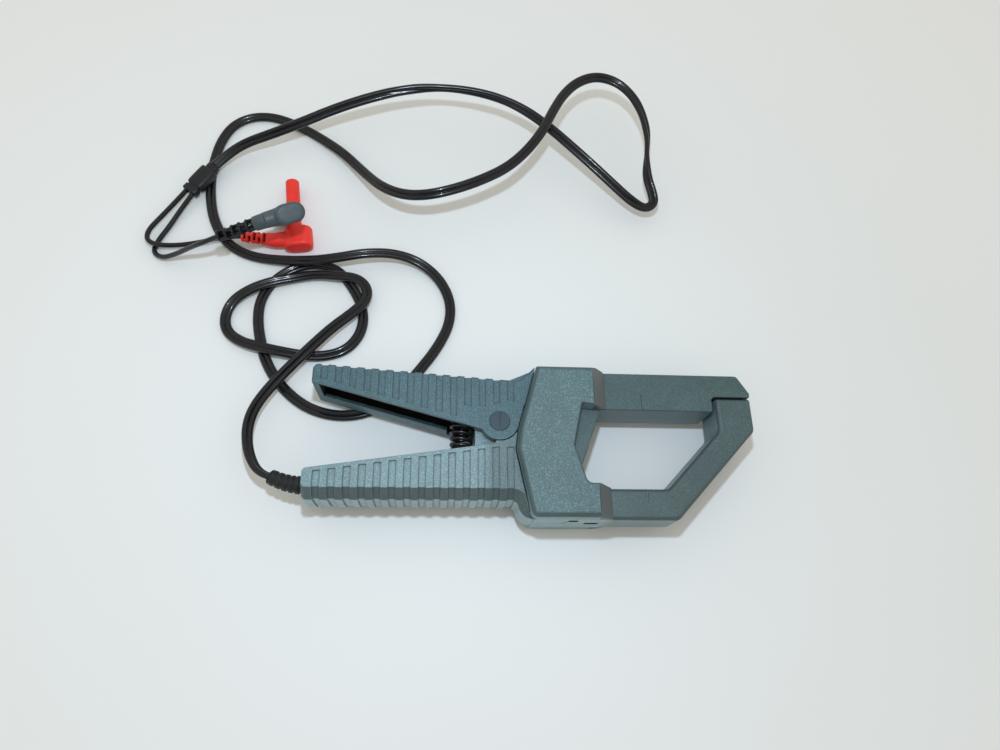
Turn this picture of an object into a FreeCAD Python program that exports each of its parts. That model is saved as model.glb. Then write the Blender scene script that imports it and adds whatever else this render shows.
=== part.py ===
import FreeCAD
import Part
import math
import os

# Clamp-on current probe: two sprung handles, a raised head block, a jaw that opens
# round a conductor, and a twin cord to a pair of shrouded right-angle test plugs.
#
# Frame: millimetres, +X from the handles towards the jaw's tip, +Y towards the
# moving handle, +Z up from the surface that the head block rests on. The origin is
# under the middle of the probe. The probe's own outlines are drawn in the hinge
# frame, whose origin is on the hinge axis, and are moved by HINGE_X and HINGE_Y on
# export. The cord and its plugs are drawn straight in the part's frame.

V = FreeCAD.Vector

# ---------------------------------------------------------------- driving dimensions
TIP_X = 155.0              # jaw tip, from the hinge
TAIL_X = -110.0            # end of the fixed handle
SOUTH_Y = -56.0            # outer wall of the head and of the fixed jaw
NORTH_Y = 34.0             # outer edge of the moving handle
HEAD_Z = 45.0              # thickness of the head block
HANDLE_THICK = 34.0
JAW_THICK = 26.0
MID_Z = HEAD_Z / 2.0       # parting plane of every shell
HANDLE_TOP = MID_Z + HANDLE_THICK / 2.0
JAW_TOP = MID_Z + JAW_THICK / 2.0
COVER_SEAT = JAW_TOP + 0.4     # top of the fixed head block, where its cover sits
WALL = 2.4
HINGE_X = -(TIP_X + TAIL_X) / 2.0
HINGE_Y = -(SOUTH_Y + NORTH_Y) / 2.0
OPEN_ANGLE = 20.0          # travel of the moving arm, degrees

# hinge
BOSS_R = 11.2
BOSS_GAP = 0.6
EYE_R = 9.3
PIN_R = 3.0
PIN_CLEARANCE = 0.05
BUSH_R = 4.5
CAP_R = 5.9
CAP_PROUD = 0.6
TONGUE_TOP = MID_Z + 10.5
CHEEK_GAP = 0.3

# fixed handle: flat top, a broad bevel and a steep drafted side wall
TOP_INSET = 6.4
BEVEL_INSET = 0.5
BEVEL_Z = MID_Z + 11.0
INNER_TAIL_Y = -29.0       # inner edge at the cord end
INNER_HINGE_Y = -13.4      # inner edge beside the hinge
INNER_HINGE_X = -3.0
HANDLE_SIDE_Y = -45.9      # outer edge of the fixed handle
TAIL_R = 2.6               # corner of the handle's end
SWEEP_START_X = 6.8        # where the side wall begins to sweep out to the head
SWEEP_IN_R = 3.4
SWEEP_OUT_R = 9.0

# grip grooves
GROOVE_W = 4.2
GROOVE_DEPTH = 0.7
FIXED_GROOVES = 14
FIXED_GROOVE_X = -104.2
FIXED_GROOVE_PITCH = 8.32
MOVING_GROOVES = 14
MOVING_GROOVE_X = -104.6
MOVING_GROOVE_PITCH = 8.4
GROOVE_END = 2.2           # land left beside a handle's inner edge

# moving handle
LEVER_TAIL_X = -109.4
LEVER_INNER_TAIL_Y = 22.6
LEVER_INNER_HINGE = (-10.2, -4.9)
LEVER_OUTER_TAIL_Y = 34.0
LEVER_OUTER_END = (12.0, 25.3)
RIM_TOP = 16.5             # top of the channel's lower lip
PLATE = 2.5                # thickness of the moving handle's cheeks
CHANNEL_X = (-105.5, -14.5)

# magnetic circuit
CORE_HALF = 9.5            # half thickness of both laminated cores
POLE_GAP = 0.35

# spring between the handles
SPRING_X = -21.8
SPRING_R = 7.0
SPRING_WIRE = 2.1
SPRING_FOOT_Y = -15.0
SPRING_HEAD_Y = 9.0

# cord
CORD_D = 3.6               # height of the flat twin cord, and size of each core
LEAD_D = 3.4
EXIT_Y = -35.0             # cord exit in the end of the fixed handle, hinge frame
RELIEF_TIP = (-131.0, -29.6, 20.0)

# ------------------------------------------------------------------ cord routes
# Points of the part's frame, chosen along the cord from the strain relief's tip to
# the splitter, and from the splitter to the two plugs. The cord lies flat on the
# surface and humps over itself where it crosses.
CORD_ROUTE = [
    (-153.5, -18.6, 20.0), (-160.5, -16.8, 19.5), (-168.0, -5.0, 18.0),
    (-171.5, 10.0, 16.0), (-170.0, 24.0, 14.0), (-163.0, 38.0, 12.0),
    (-153.0, 52.0, 10.8), (-141.0, 67.0, 10.0), (-128.5, 82.0, 9.0),
    (-116.0, 94.0, 7.6), (-108.0, 104.0, 6.2), (-107.5, 114.0, 5.8),
    (-115.0, 121.5, 5.8), (-128.0, 122.5, 5.8), (-143.0, 124.0, 4.0),
    (-157.0, 121.0, 3.6), (-171.0, 116.5, 5.8), (-184.0, 110.5, 5.8),
    (-195.0, 102.5, 3.6), (-199.0, 91.5, 1.8), (-196.5, 81.0, 1.8),
    (-187.0, 73.5, 3.4), (-174.0, 69.0, 5.8), (-160.0, 66.0, 5.8),
    (-146.0, 64.5, 3.4), (-132.0, 65.0, 1.8), (-119.5, 69.5, 1.8),
    (-111.5, 79.5, 1.8), (-109.0, 92.0, 1.8), (-112.0, 105.0, 1.8),
    (-119.0, 117.5, 1.8), (-128.0, 128.5, 1.8), (-140.0, 133.5, 1.8),
    (-153.5, 131.5, 1.8), (-165.0, 125.0, 1.8), (-173.5, 115.0, 1.8),
    (-178.0, 102.5, 1.8), (-177.5, 88.5, 1.8), (-174.0, 74.0, 1.8),
    (-169.0, 60.0, 1.8), (-161.0, 47.5, 1.8), (-150.5, 36.5, 1.8),
    (-138.0, 28.5, 1.8), (-123.0, 24.5, 1.8), (-108.0, 25.5, 1.8),
    (-94.0, 31.5, 1.8), (-82.0, 42.5, 1.8), (-71.0, 57.0, 1.8),
    (-60.0, 73.0, 1.8), (-52.0, 91.0, 1.8), (-52.0, 109.0, 1.8),
    (-60.5, 125.5, 3.0), (-74.8, 136.0, 6.0), (-91.3, 139.0, 10.0),
    (-109.6, 137.0, 12.5), (-127.2, 133.0, 12.0), (-145.4, 131.5, 9.0),
    (-165.3, 133.5, 4.5), (-185.0, 136.5, 1.8), (-200.0, 143.0, 1.8),
    (-210.0, 154.0, 1.8), (-217.0, 168.0, 1.8), (-221.0, 184.0, 1.8),
    (-223.0, 201.0, 1.8), (-222.5, 218.0, 1.8), (-220.0, 234.0, 1.8),
    (-213.5, 248.0, 1.8), (-202.0, 256.0, 1.8), (-188.0, 257.5, 1.8),
    (-174.0, 253.5, 1.8), (-159.5, 246.0, 1.8), (-145.8, 236.5, 3.0),
    (-130.2, 222.0, 7.0), (-115.3, 202.0, 14.0), (-101.5, 183.5, 23.0),
    (-85.7, 171.5, 31.0), (-69.0, 168.5, 36.0), (-50.5, 173.0, 38.0),
    (-33.0, 180.5, 39.0), (-15.5, 191.5, 39.0), (-1.3, 207.0, 39.0),
    (10.0, 224.5, 39.5), (17.6, 242.0, 40.0), (26.0, 258.0, 40.0),
    (37.2, 270.5, 40.0), (51.2, 276.5, 40.0), (66.0, 273.5, 39.0),
    (77.5, 263.5, 37.0), (85.0, 249.0, 34.0), (88.4, 232.5, 30.0),
    (87.0, 216.5, 26.0), (87.3, 202.5, 22.0), (91.5, 192.2, 18.0),
    (93.0, 185.0, 15.0), (86.2, 180.7, 14.0), (75.0, 185.5, 17.0),
    (61.0, 197.0, 21.0), (46.2, 209.5, 25.0), (31.2, 222.0, 28.5),
    (16.2, 235.0, 31.0), (0.0, 247.0, 33.0), (-18.7, 255.5, 35.0),
    (-42.0, 260.5, 36.0), (-67.2, 261.5, 36.0), (-91.5, 257.5, 35.0),
    (-115.2, 251.0, 32.0), (-137.6, 243.5, 28.0), (-158.5, 234.5, 24.0),
    (-180.2, 227.0, 19.0), (-197.4, 222.5, 14.5), (-209.7, 215.3, 11.0),
    (-219.5, 205.5, 8.2),
]
SPLITTER_HEAD = V(-219.5, 205.5, 8.2)
SPLITTER_TAIL = V(-234.0, 184.5, 6.0)
LEAD_SPACING = 2.7         # each lead leaves this far from the splitter's axis
RED_LEAD_ROUTE = [
    (-236.2, 186.0, 6.0), (-242.5, 175.5, 5.6), (-250.0, 163.0, 5.6),
    (-256.5, 152.0, 5.8), (-255.5, 144.0, 5.8), (-246.5, 141.0, 5.8),
    (-233.5, 142.5, 4.6), (-219.5, 145.5, 5.0), (-206.5, 149.5, 6.4),
    (-193.8, 150.1, 6.6),
]
BLACK_LEAD_ROUTE = [
    (-231.8, 183.0, 6.0), (-238.0, 171.0, 4.6), (-244.5, 158.0, 2.4),
    (-250.5, 146.5, 1.8), (-252.0, 138.0, 1.8), (-245.0, 133.0, 3.0),
    (-233.5, 132.5, 9.5), (-222.0, 131.5, 19.5), (-211.0, 130.0, 28.5),
    (-199.5, 131.8, 34.0),
]

# plugs: origin at the crossing of the cable axis and the shroud axis
RED_PLUG_AT = V(-158.5, 149.5, 6.8)
RED_PLUG_CABLE = V(0.99, 0.14, 0.0)
RED_PLUG_SHROUD = V(-0.14, 0.99, 0.0)
RED_BOOT_START = V(-193.8, 150.1, 6.6)
BLACK_PLUG_AT = V(-157.9, 145.8, 40.5)
BLACK_PLUG_CABLE = V(0.893, 0.441, -0.09)
BLACK_PLUG_SHROUD = V(-0.32, 0.50, -0.81)
BLACK_BOOT_START = V(-199.5, 131.8, 34.0)
PLUG_BACK = 14.0           # cable side of the plug body, from its origin
BARREL_R = 4.8             # the body where its cable boot begins
ELBOW_PLAN = [(-7.2, -6.5, 6.3), (11.8, -6.5, 6.3), (11.8, 6.5, 6.3), (-7.2, 6.5, 6.3)]
SHROUD_R = 4.7
SHROUD_BORE_R = 3.4
SHROUD_REACH = 46.0        # shroud tip, from the cable axis
CONTACT_R = 2.0            # 4 mm contact
BOOT_R = 4.4


# ------------------------------------------------------------------- small helpers
def corner_points(points, i):
    """Start, middle and end of the arc that rounds corner i."""
    here = V(points[i][0], points[i][1], 0)
    radius = points[i][2] if len(points[i]) > 2 else 0.0
    if radius <= 0.0:
        return here, None, here
    before = V(points[i - 1][0], points[i - 1][1], 0) - here
    after_point = points[(i + 1) % len(points)]
    after = V(after_point[0], after_point[1], 0) - here
    before.normalize()
    after.normalize()
    half = before.getAngle(after) / 2.0
    reach = radius / math.tan(half)
    bisector = before + after
    bisector.normalize()
    middle = here + bisector * (radius / math.sin(half) - radius)
    return here + before * reach, middle, here + after * reach


def outline(points, z):
    """Closed wire at height z; a point may carry a corner radius as its third value."""
    corners = [corner_points(points, i) for i in range(len(points))]
    lift = V(0, 0, z)
    edges = []
    for i, (start, middle, end) in enumerate(corners):
        if middle is not None:
            edges.append(Part.Arc(start + lift, middle + lift, end + lift).toShape())
        following = corners[(i + 1) % len(corners)][0]
        if (following - end).Length > 1e-6:
            edges.append(Part.LineSegment(end + lift, following + lift).toShape())
    return Part.Wire(edges)


def prism(points, low, high):
    """Upright solid on an outline."""
    return Part.Face(outline(points, low)).extrude(V(0, 0, high - low))


def disc(x, y, radius, low, high):
    return Part.makeCylinder(radius, high - low, V(x, y, low))


def block(low, high):
    return Part.makeBox(high[0] - low[0], high[1] - low[1], high[2] - low[2], V(*low))


def flipped(shape):
    """The same shape on the other side of the parting plane."""
    return shape.mirror(V(0, 0, MID_Z), V(0, 0, 1))


def both(shape):
    return shape.fuse(flipped(shape))


def fillet_where(solid, radius, chosen):
    edges = [edge for edge in solid.Edges if chosen(edge)]
    return solid.makeFillet(radius, edges)


def save(name, shape, in_hinge_frame=True):
    """Write one node, moved from the hinge frame into the part's frame."""
    placed = shape.copy()
    if in_hinge_frame:
        placed.translate(V(HINGE_X, HINGE_Y, 0))
    clean = placed.removeSplitter()
    solids = clean.Solids
    shape_out = solids[0] if len(solids) == 1 else Part.makeCompound(solids)
    shape_out.exportStep("parts/%s.step" % name)
    print("%-22s solids %d volume %.0f" % (name, len(solids), shape_out.Volume))


def fixed_inner_y(x):
    """Inner edge of the fixed handle."""
    slope = (INNER_HINGE_Y - INNER_TAIL_Y) / (INNER_HINGE_X - TAIL_X)
    return INNER_TAIL_Y + slope * (x - TAIL_X)


def lever_inner_y(x):
    """Inner edge of the moving handle."""
    slope = (LEVER_INNER_HINGE[1] - LEVER_INNER_TAIL_Y) / (LEVER_INNER_HINGE[0] - LEVER_TAIL_X)
    return LEVER_INNER_TAIL_Y + slope * (x - LEVER_TAIL_X)


def lever_outer_y(x):
    slope = (LEVER_OUTER_END[1] - LEVER_OUTER_TAIL_Y) / (LEVER_OUTER_END[0] - LEVER_TAIL_X)
    return LEVER_OUTER_TAIL_Y + slope * (x - LEVER_TAIL_X)


# ----------------------------------------------------------------- shared outlines
def head_left(gap, north=36.0, south=-60.0):
    """Left edge of the head block, moved left by gap, with everything right of it."""
    return [(22.4 - gap, north), (11.0 - gap, -5.4), (9.5 - gap, -17.0),
            (16.6 - gap, -51.0), (18.2 - gap, south), (60, south), (60, north)]


HEAD_OUTLINE = [
    (21.9, 33.8, 1.2), (55.0, 33.8), (63.5, 33.0), (63.5, 9.6), (56.0, 9.2), (48.3, 10.3),
    (42.6, -14.9, 2.0), (47.4, -31.0), (49.2, -36.8, 4.0), (56.5, -36.9), (63.5, -38.0),
    (63.5, SOUTH_Y), (17.6, SOUTH_Y, 4.0), (9.5, -17.0, 8.0), (11.0, -5.4, 12.0),
]
HEAD_POCKET = [
    (23.9, 31.2), (52.8, 31.2), (52.8, 12.6), (46.2, 12.6), (40.0, -14.8), (45.2, -31.5),
    (47.0, -39.4), (53.0, -39.4), (53.0, -53.4), (19.8, -53.4), (12.2, -17.0), (13.6, -5.4),
]
HEAD_FIXED = [
    (-2.0, -20.0), (9.7, -17.0), (11.0, -9.6), (12.5, -9.6), (22.9, -30.4), (47.2, -30.4),
    (49.2, -36.8, 4.0), (56.5, -36.9), (64.0, -38.0), (64.0, SOUTH_Y), (19.0, SOUTH_Y),
    (18.0, -52.0), (13.5, -46.0), (8.0, -42.0), (-2.0, -40.0),
]
FIXED_JAW = [
    (62.0, -38.0), (98.2, -38.0, 6.0), (132.6, -2.7, 7.0), (132.6, 18.3, 1.5),
    (TIP_X, 18.3, 1.2), (TIP_X, -2.2, 5.0), (102.8, SOUTH_Y, 5.0), (62.0, SOUTH_Y),
]
MOVING_JAW = [
    (0.0, 12.0), (12.6, -8.0), (23.5, -30.0), (46.0, -30.0, 1.0), (61.0, 9.4, 1.0),
    (130.4, 9.4, 1.0), (130.4, 18.9, 2.4), (154.6, 18.9, 0.8), (TIP_X, 21.5, 1.0),
    (148.0, 33.0, 3.0), (20.0, 33.0), (0.0, 24.0),
]
FIXED_CORE = [
    (24.0, -30.0 - POLE_GAP), (38.0, -30.0 - POLE_GAP), (38.0, -41.5), (99.7, -41.5),
    (136.1, -4.1), (136.1, 18.4), (151.5, 18.4), (151.5, -0.8), (101.3, -52.5), (24.0, -52.5),
]
MOVING_CORE = [
    (24.0, -30.0), (38.0, -30.0), (54.0, 13.0), (127.5, 13.0), (127.5, 22.0), (136.1, 22.0),
    (136.1, 18.4 + POLE_GAP), (151.5, 18.4 + POLE_GAP), (151.5, 25.0), (147.0, 29.6), (36.0, 29.6),
]
TONGUE = [(-14.0, -2.4), (-14.0, -26.0), (8.5, -26.0), (9.0, -2.0), (0.0, 0.0), (-5.4, 7.5)]
TONGUE_ROOM = [(-14.8, -1.7), (-14.8, -28.0), (9.3, -28.0), (9.8, -2.0), (0.0, 0.0), (-6.0, 8.1)]


# ------------------------------------------------------------------- fixed handle
def side_outline(inset, shrink):
    """Plan of the fixed handle, its outer side moved in by inset."""
    side = HANDLE_SIDE_Y + inset
    rise = HANDLE_SIDE_Y - SOUTH_Y
    reach = SWEEP_IN_R + SWEEP_OUT_R
    turn = math.acos(1.0 - rise / reach)
    inner_r = SWEEP_IN_R + inset
    outer_r = SWEEP_OUT_R - inset
    start = V(SWEEP_START_X, side, 0)
    inner_centre = start + V(0, -inner_r, 0)
    middle = inner_centre + V(math.sin(turn), math.cos(turn), 0) * inner_r
    outer_centre = middle + V(math.sin(turn), math.cos(turn), 0) * outer_r
    end = outer_centre + V(0, -outer_r, 0)
    half = turn / 2.0
    in_mid = inner_centre + V(math.sin(half), math.cos(half), 0) * inner_r
    out_mid = outer_centre - V(math.sin(half), math.cos(half), 0) * outer_r
    tail = TAIL_X + shrink
    inner_tail = fixed_inner_y(tail) - shrink
    corners = [
        V(30, end.y, 0), V(30, -2 - shrink, 0), V(13, -2 - shrink, 0), V(0, -9 - shrink, 0),
        V(INNER_HINGE_X, fixed_inner_y(INNER_HINGE_X) - shrink, 0),
        V(tail + 2.5, inner_tail + 0.4, 0),
    ]
    edges = [Part.LineSegment(a, b).toShape() for a, b in zip(corners, corners[1:])]
    inner_end = V(tail, inner_tail - 2.5, 0)
    side_end = V(tail, side + TAIL_R, 0)
    side_start = V(tail + TAIL_R, side, 0)
    inner_mid = V(tail + 0.7, inner_tail - 0.45, 0)
    side_mid = V(tail + 0.293 * TAIL_R, side + 0.293 * TAIL_R, 0)
    edges.append(Part.Arc(corners[-1], inner_mid, inner_end).toShape())
    edges.append(Part.LineSegment(inner_end, side_end).toShape())
    edges.append(Part.Arc(side_end, side_mid, side_start).toShape())
    edges.append(Part.LineSegment(side_start, start).toShape())
    edges.append(Part.Arc(start, in_mid, middle).toShape())
    edges.append(Part.Arc(middle, out_mid, end).toShape())
    edges.append(Part.LineSegment(end, corners[0]).toShape())
    return Part.Wire(edges)


def at_height(wire, z):
    lifted = wire.copy()
    lifted.translate(V(0, 0, z))
    return lifted


def fixed_handle(shrink):
    """Upper half of the fixed handle, every face moved in by shrink."""
    belt = at_height(side_outline(shrink, shrink), MID_Z)
    bevel = at_height(side_outline(BEVEL_INSET + shrink, shrink), BEVEL_Z - 0.5 * shrink)
    top = at_height(side_outline(TOP_INSET + 0.7 * shrink, shrink), HANDLE_TOP - shrink)
    lower = Part.makeLoft([belt, bevel], True, True)
    upper = Part.makeLoft([bevel, top], True, True)
    return lower.fuse(upper)


def fixed_grooves():
    """Cutters for the grip grooves over the top, the bevel and the side of the fixed handle."""
    slabs = []
    for i in range(FIXED_GROOVES):
        x = FIXED_GROOVE_X + i * FIXED_GROOVE_PITCH
        inner = fixed_inner_y(min(x, INNER_HINGE_X)) - GROOVE_END
        corners = [(x, -60), (x + GROOVE_W, -60), (x + GROOVE_W, inner + 0.4), (x, inner)]
        slabs.append(prism(corners, MID_Z - 1.0, HANDLE_TOP + 2.0))
    return Part.makeCompound(slabs).cut(fixed_handle(GROOVE_DEPTH))


def fixed_upper_half():
    """Solid upper half of the fixed arm, before the cores and fasteners are let in."""
    handle = fixed_handle(0.0)
    handle = handle.cut(fixed_grooves())
    handle = handle.cut(prism(head_left(0.6), COVER_SEAT, HEAD_Z))
    handle = handle.cut(prism(head_left(0.0), MID_Z - 1, COVER_SEAT))
    hollow = fixed_handle(WALL).common(block((-120, -60, MID_Z - 1), (7.0, 0, HEAD_Z)))
    posts = [disc(x, y, 3.2, MID_Z, HANDLE_TOP) for x, y, _, _ in HANDLE_SCREWS]
    handle = handle.cut(hollow.cut(posts))
    head = prism(HEAD_FIXED, MID_Z, COVER_SEAT)
    jaw = prism(FIXED_JAW, MID_Z, JAW_TOP)
    jaw = fillet_where(jaw, 2.6, lambda e: is_rim(e, JAW_TOP) and on_outer_side(e))
    slot = block((49.6, SOUTH_Y - 1, MID_Z - 1.0), (57.7, SOUTH_Y + 1.8, MID_Z + 2.4))
    corner = fixed_handle(0.0).common(block((14.0, SOUTH_Y - 1, MID_Z), (22.0, -48.0, COVER_SEAT)))
    arm = handle.fuse([head, jaw, corner]).cut([slot, index_line(85.6, -46.0, -37.0)])
    arm = arm.cut(disc(0, 0, BOSS_R + BOSS_GAP, MID_Z - 1, HEAD_Z))
    arm = arm.cut(block((9.0, -6.6, MID_Z - 1), (14.0, 0.0, HEAD_Z)))
    tongue = prism(TONGUE, MID_Z, TONGUE_TOP).fuse(disc(0, 0, EYE_R, MID_Z, TONGUE_TOP))
    foot = Part.makeCylinder(SPRING_R + 0.6, 5.0, V(SPRING_X, SPRING_FOOT_Y - 5.0, MID_Z), V(0, 1, 0))
    post = Part.makeCylinder(3.6, 9.0, V(SPRING_X, SPRING_FOOT_Y - 5.0, MID_Z), V(0, 1, 0))
    foot = foot.fuse(post).common(block((-60, -40, MID_Z), (10, 0, HEAD_Z)))
    return arm.fuse([tongue, foot]).cut(disc(0, 0, BUSH_R, MID_Z - 1, HEAD_Z))


def latch_slot():
    """Slot in the side wall of the upper shell, with a slanted groove down to the parting line."""
    outline = [(36.2, 22.4), (36.9, 22.4), (39.9, 27.6), (45.0, 27.6), (45.0, 32.2), (39.5, 32.2), (39.5, 28.6)]
    edges = Part.makePolygon([V(x, SOUTH_Y - 1, z) for x, z in outline + outline[:1]])
    return Part.Face(edges).extrude(V(0, 2.8, 0))


def index_line(x, low_y, high_y):
    """Cutter for a fine line across the top of a jaw, beside the window."""
    return block((x - 0.2, low_y, JAW_TOP - 0.35), (x + 0.2, high_y, JAW_TOP + 1.0))


def is_rim(edge, z):
    box = edge.BoundBox
    return abs(box.ZMin - z) < 0.02 and abs(box.ZMax - z) < 0.02


def on_outer_side(edge):
    """Outer south and slanted edges of the fixed jaw."""
    box = edge.BoundBox
    south = abs(box.YMin - SOUTH_Y) < 0.02 and box.XLength > 1.0
    slant = box.XMin > 100.0 and box.YMax < 0.0 and box.YMax - 1.03 * box.XMax < -158.0
    return south or slant


# ------------------------------------------------------------------- moving arm
def lever_plan():
    """Plan of the moving handle up to the head block."""
    return [
        (LEVER_TAIL_X, LEVER_INNER_TAIL_Y), (LEVER_TAIL_X, LEVER_OUTER_TAIL_Y, 3.5),
        (LEVER_OUTER_END[0], LEVER_OUTER_END[1], 5.0), (20.9, NORTH_Y), (21.5, NORTH_Y),
        (14.9, 9.9), (14.3, 9.7), (10.79, -3.0), (0.0, -6.0), LEVER_INNER_HINGE,
    ]


def lever_groove_cutters():
    """Grip grooves on the top face of the moving handle and over its outer edge."""
    slabs = []
    for i in range(MOVING_GROOVES):
        x = MOVING_GROOVE_X + i * MOVING_GROOVE_PITCH
        end = lever_inner_y(x) + GROOVE_END
        if x > -26.0:
            end = 8.5 if x < 0 else 12.0
        corners = [(x, end + 0.8), (x + GROOVE_W, end), (x + GROOVE_W, 40.0), (x, 40.0)]
        top = prism(corners, HANDLE_TOP - GROOVE_DEPTH, HANDLE_TOP + 1.0)
        edge_y = lever_outer_y(x + GROOVE_W) - GROOVE_DEPTH
        side = block((x, edge_y, BEVEL_Z - 2.5), (x + GROOVE_W, 40.0, HANDLE_TOP + 1.0))
        slabs.append(top if x > 0 else top.fuse(side))
    return Part.makeCompound(slabs)


def channel_plan(inset, open_side):
    """Hollow of the moving handle, its walls moved in by inset."""
    left = CHANNEL_X[0] + inset
    right = CHANNEL_X[1] - inset
    inner = -6.0 if open_side else 2.2 + inset
    return [
        (left, lever_inner_y(left) + inner), (left, lever_outer_y(left) - WALL - inset),
        (right, lever_outer_y(right) - WALL - inset), (right, lever_inner_y(right) + inner),
    ]


def lever_upper_half():
    """Upper half of the moving arm with its channel open towards the fixed handle."""
    grip = prism(lever_plan(), MID_Z, HANDLE_TOP)
    grip = fillet_where(grip, 1.3, lambda e: is_rim(e, HANDLE_TOP) and is_lever_outer(e))
    grip = grip.cut(lever_groove_cutters())
    boss = disc(0, 0, BOSS_R, MID_Z, HANDLE_TOP)
    jaw = prism(MOVING_JAW, MID_Z, JAW_TOP)
    jaw = fillet_where(jaw, 0.9, lambda e: is_rim(e, JAW_TOP) and e.BoundBox.XMax > 64.0)
    arm = grip.fuse([boss, jaw]).cut(index_line(86.4, 9.0, 19.8))
    channel = prism(channel_plan(0.0, False), MID_Z - 1, HANDLE_TOP - PLATE)
    mouth = prism(channel_plan(0.0, True), MID_Z - 1, HANDLE_TOP - PLATE)
    return arm.cut([channel, mouth.common(mouth_band())] + tongue_room())


def is_lever_outer(edge):
    box = edge.BoundBox
    return box.YMin > 24.0 and box.XMax < 13.0 and box.XLength > 20.0


def mouth_band():
    """Strip along the inner edge where the channel has no wall."""
    left, right = CHANNEL_X
    return prism([(left, lever_inner_y(left) - 1.0), (left, lever_inner_y(left) + 3.0),
                  (right, lever_inner_y(right) + 3.0), (right, lever_inner_y(right) - 1.0)],
                 MID_Z - 20.0, MID_Z + 20.0)


def tongue_room():
    """Room for the fixed tongue at every angle of the moving arm."""
    top = TONGUE_TOP + CHEEK_GAP
    rooms = [disc(0, 0, EYE_R + 0.7, MID_Z - 1, top)]
    steps = 3
    for i in range(steps + 1):
        room = prism(TONGUE_ROOM, MID_Z - 1, top)
        room.rotate(V(0, 0, 0), V(0, 0, 1), -(OPEN_ANGLE + 1.0) * i / steps)
        rooms.append(room)
    return rooms


# ------------------------------------------------------------------- head covers
def head_cover():
    """Raised cover of the head, with the ramps down to both jaws."""
    cover = prism(HEAD_OUTLINE, COVER_SEAT, HEAD_Z)
    cover = fillet_where(cover, 3.6, lambda e: is_rim(e, HEAD_Z) and is_south_rim(e))
    cover = fillet_where(cover, 1.4, lambda e: is_rim(e, HEAD_Z) and is_hole_rim(e))
    foot = COVER_SEAT + 0.6
    wedge = [(55.0, HEAD_Z), (63.5, foot), (70.0, foot), (70.0, 50.0), (55.0, 50.0)]
    edges = Part.makePolygon([V(x, -70, z) for x, z in wedge + wedge[:1]])
    cover = cover.cut(Part.Face(edges).extrude(V(0, 120, 0)))
    bosses = [disc(x, y, 4.2, COVER_SEAT, HEAD_Z - 1.0).common(cover) for x, y, _, _ in HEAD_SCREWS]
    return cover.cut(prism(HEAD_POCKET, COVER_SEAT - 1, HEAD_Z - WALL)).fuse(bosses)


def is_south_rim(edge):
    return abs(edge.BoundBox.YMax - SOUTH_Y) < 0.02


def is_hole_rim(edge):
    box = edge.BoundBox
    return box.XMin > 42.0 and box.XMax < 56.1 and box.YMax < 10.5 and box.YMin > -37.5


# --------------------------------------------------------------- magnetic circuit
def laminated(points):
    """Core of stacked steel, drawn as one solid."""
    return prism(points, MID_Z - CORE_HALF, MID_Z + CORE_HALF)


BOBBIN_Y = (-41.4, -31.0)
BOBBIN_X = (19.0, 43.0)
BOBBIN_HALF = 14.0


def coil_bobbin():
    """Spool on the fixed core's upright stub."""
    low_y, high_y = BOBBIN_Y
    tube = block((23.0, low_y, MID_Z - 10.5), (39.0, high_y, MID_Z + 10.5))
    cheeks = [
        block((BOBBIN_X[0], y, MID_Z - BOBBIN_HALF), (BOBBIN_X[1], y + 1.0, MID_Z + BOBBIN_HALF))
        for y in (low_y, high_y - 1.0)
    ]
    return tube.fuse(cheeks).cut(laminated(FIXED_CORE))


def coil_winding():
    low_y, high_y = BOBBIN_Y
    outer = block((20.0, low_y + 1.0, MID_Z - 13.0), (42.0, high_y - 1.0, MID_Z + 13.0))
    return outer.cut(block((23.0, low_y, MID_Z - 10.5), (39.0, high_y, MID_Z + 10.5)))


def coil_room():
    return block((18.4, -41.5, MID_Z - 15.0), (43.6, -30.3, MID_Z + 15.0))


# ------------------------------------------------------------------- hinge pieces
def hinge_pin():
    return disc(0, 0, PIN_R, flip_z(HANDLE_TOP - 1.2), HANDLE_TOP - 1.2)


def flip_z(z):
    return 2.0 * MID_Z - z


def pin_cap():
    """Slotted cap that closes the hinge bore, standing a little proud."""
    low = HANDLE_TOP - 1.2
    cap = disc(0, 0, CAP_R, low, HANDLE_TOP + CAP_PROUD)
    cap = fillet_where(cap, 0.5, lambda e: is_rim(e, HANDLE_TOP + CAP_PROUD))
    slot = block((-0.6, -CAP_R, HANDLE_TOP), (0.6, CAP_R, HANDLE_TOP + 2.0))
    return cap.cut(slot)


def hinge_bush():
    sleeve = disc(0, 0, BUSH_R, flip_z(TONGUE_TOP), TONGUE_TOP)
    return sleeve.cut(disc(0, 0, PIN_R + PIN_CLEARANCE, 0, HEAD_Z))


# ------------------------------------------------------------------- fasteners
def screw(x, y, head_low, top, head_r=2.9, shank_r=1.5):
    """Pan-head screw driven from below."""
    head = disc(x, y, head_r, head_low, head_low + 2.0)
    recess = block((x - 0.4, y - 1.6, head_low), (x + 0.4, y + 1.6, head_low + 0.9))
    cross = block((x - 1.6, y - 0.4, head_low), (x + 1.6, y + 0.4, head_low + 0.9))
    return head.cut([recess, cross]).fuse(disc(x, y, shank_r, head_low + 2.0, top))


def screw_well(x, y, head_low, top, head_r=2.9, shank_r=1.5):
    """The material that a screw and the well under its head take away."""
    well = disc(x, y, head_r, -1.0, head_low + 2.0)
    return well.fuse(disc(x, y, shank_r, head_low + 1.0, top))


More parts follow.
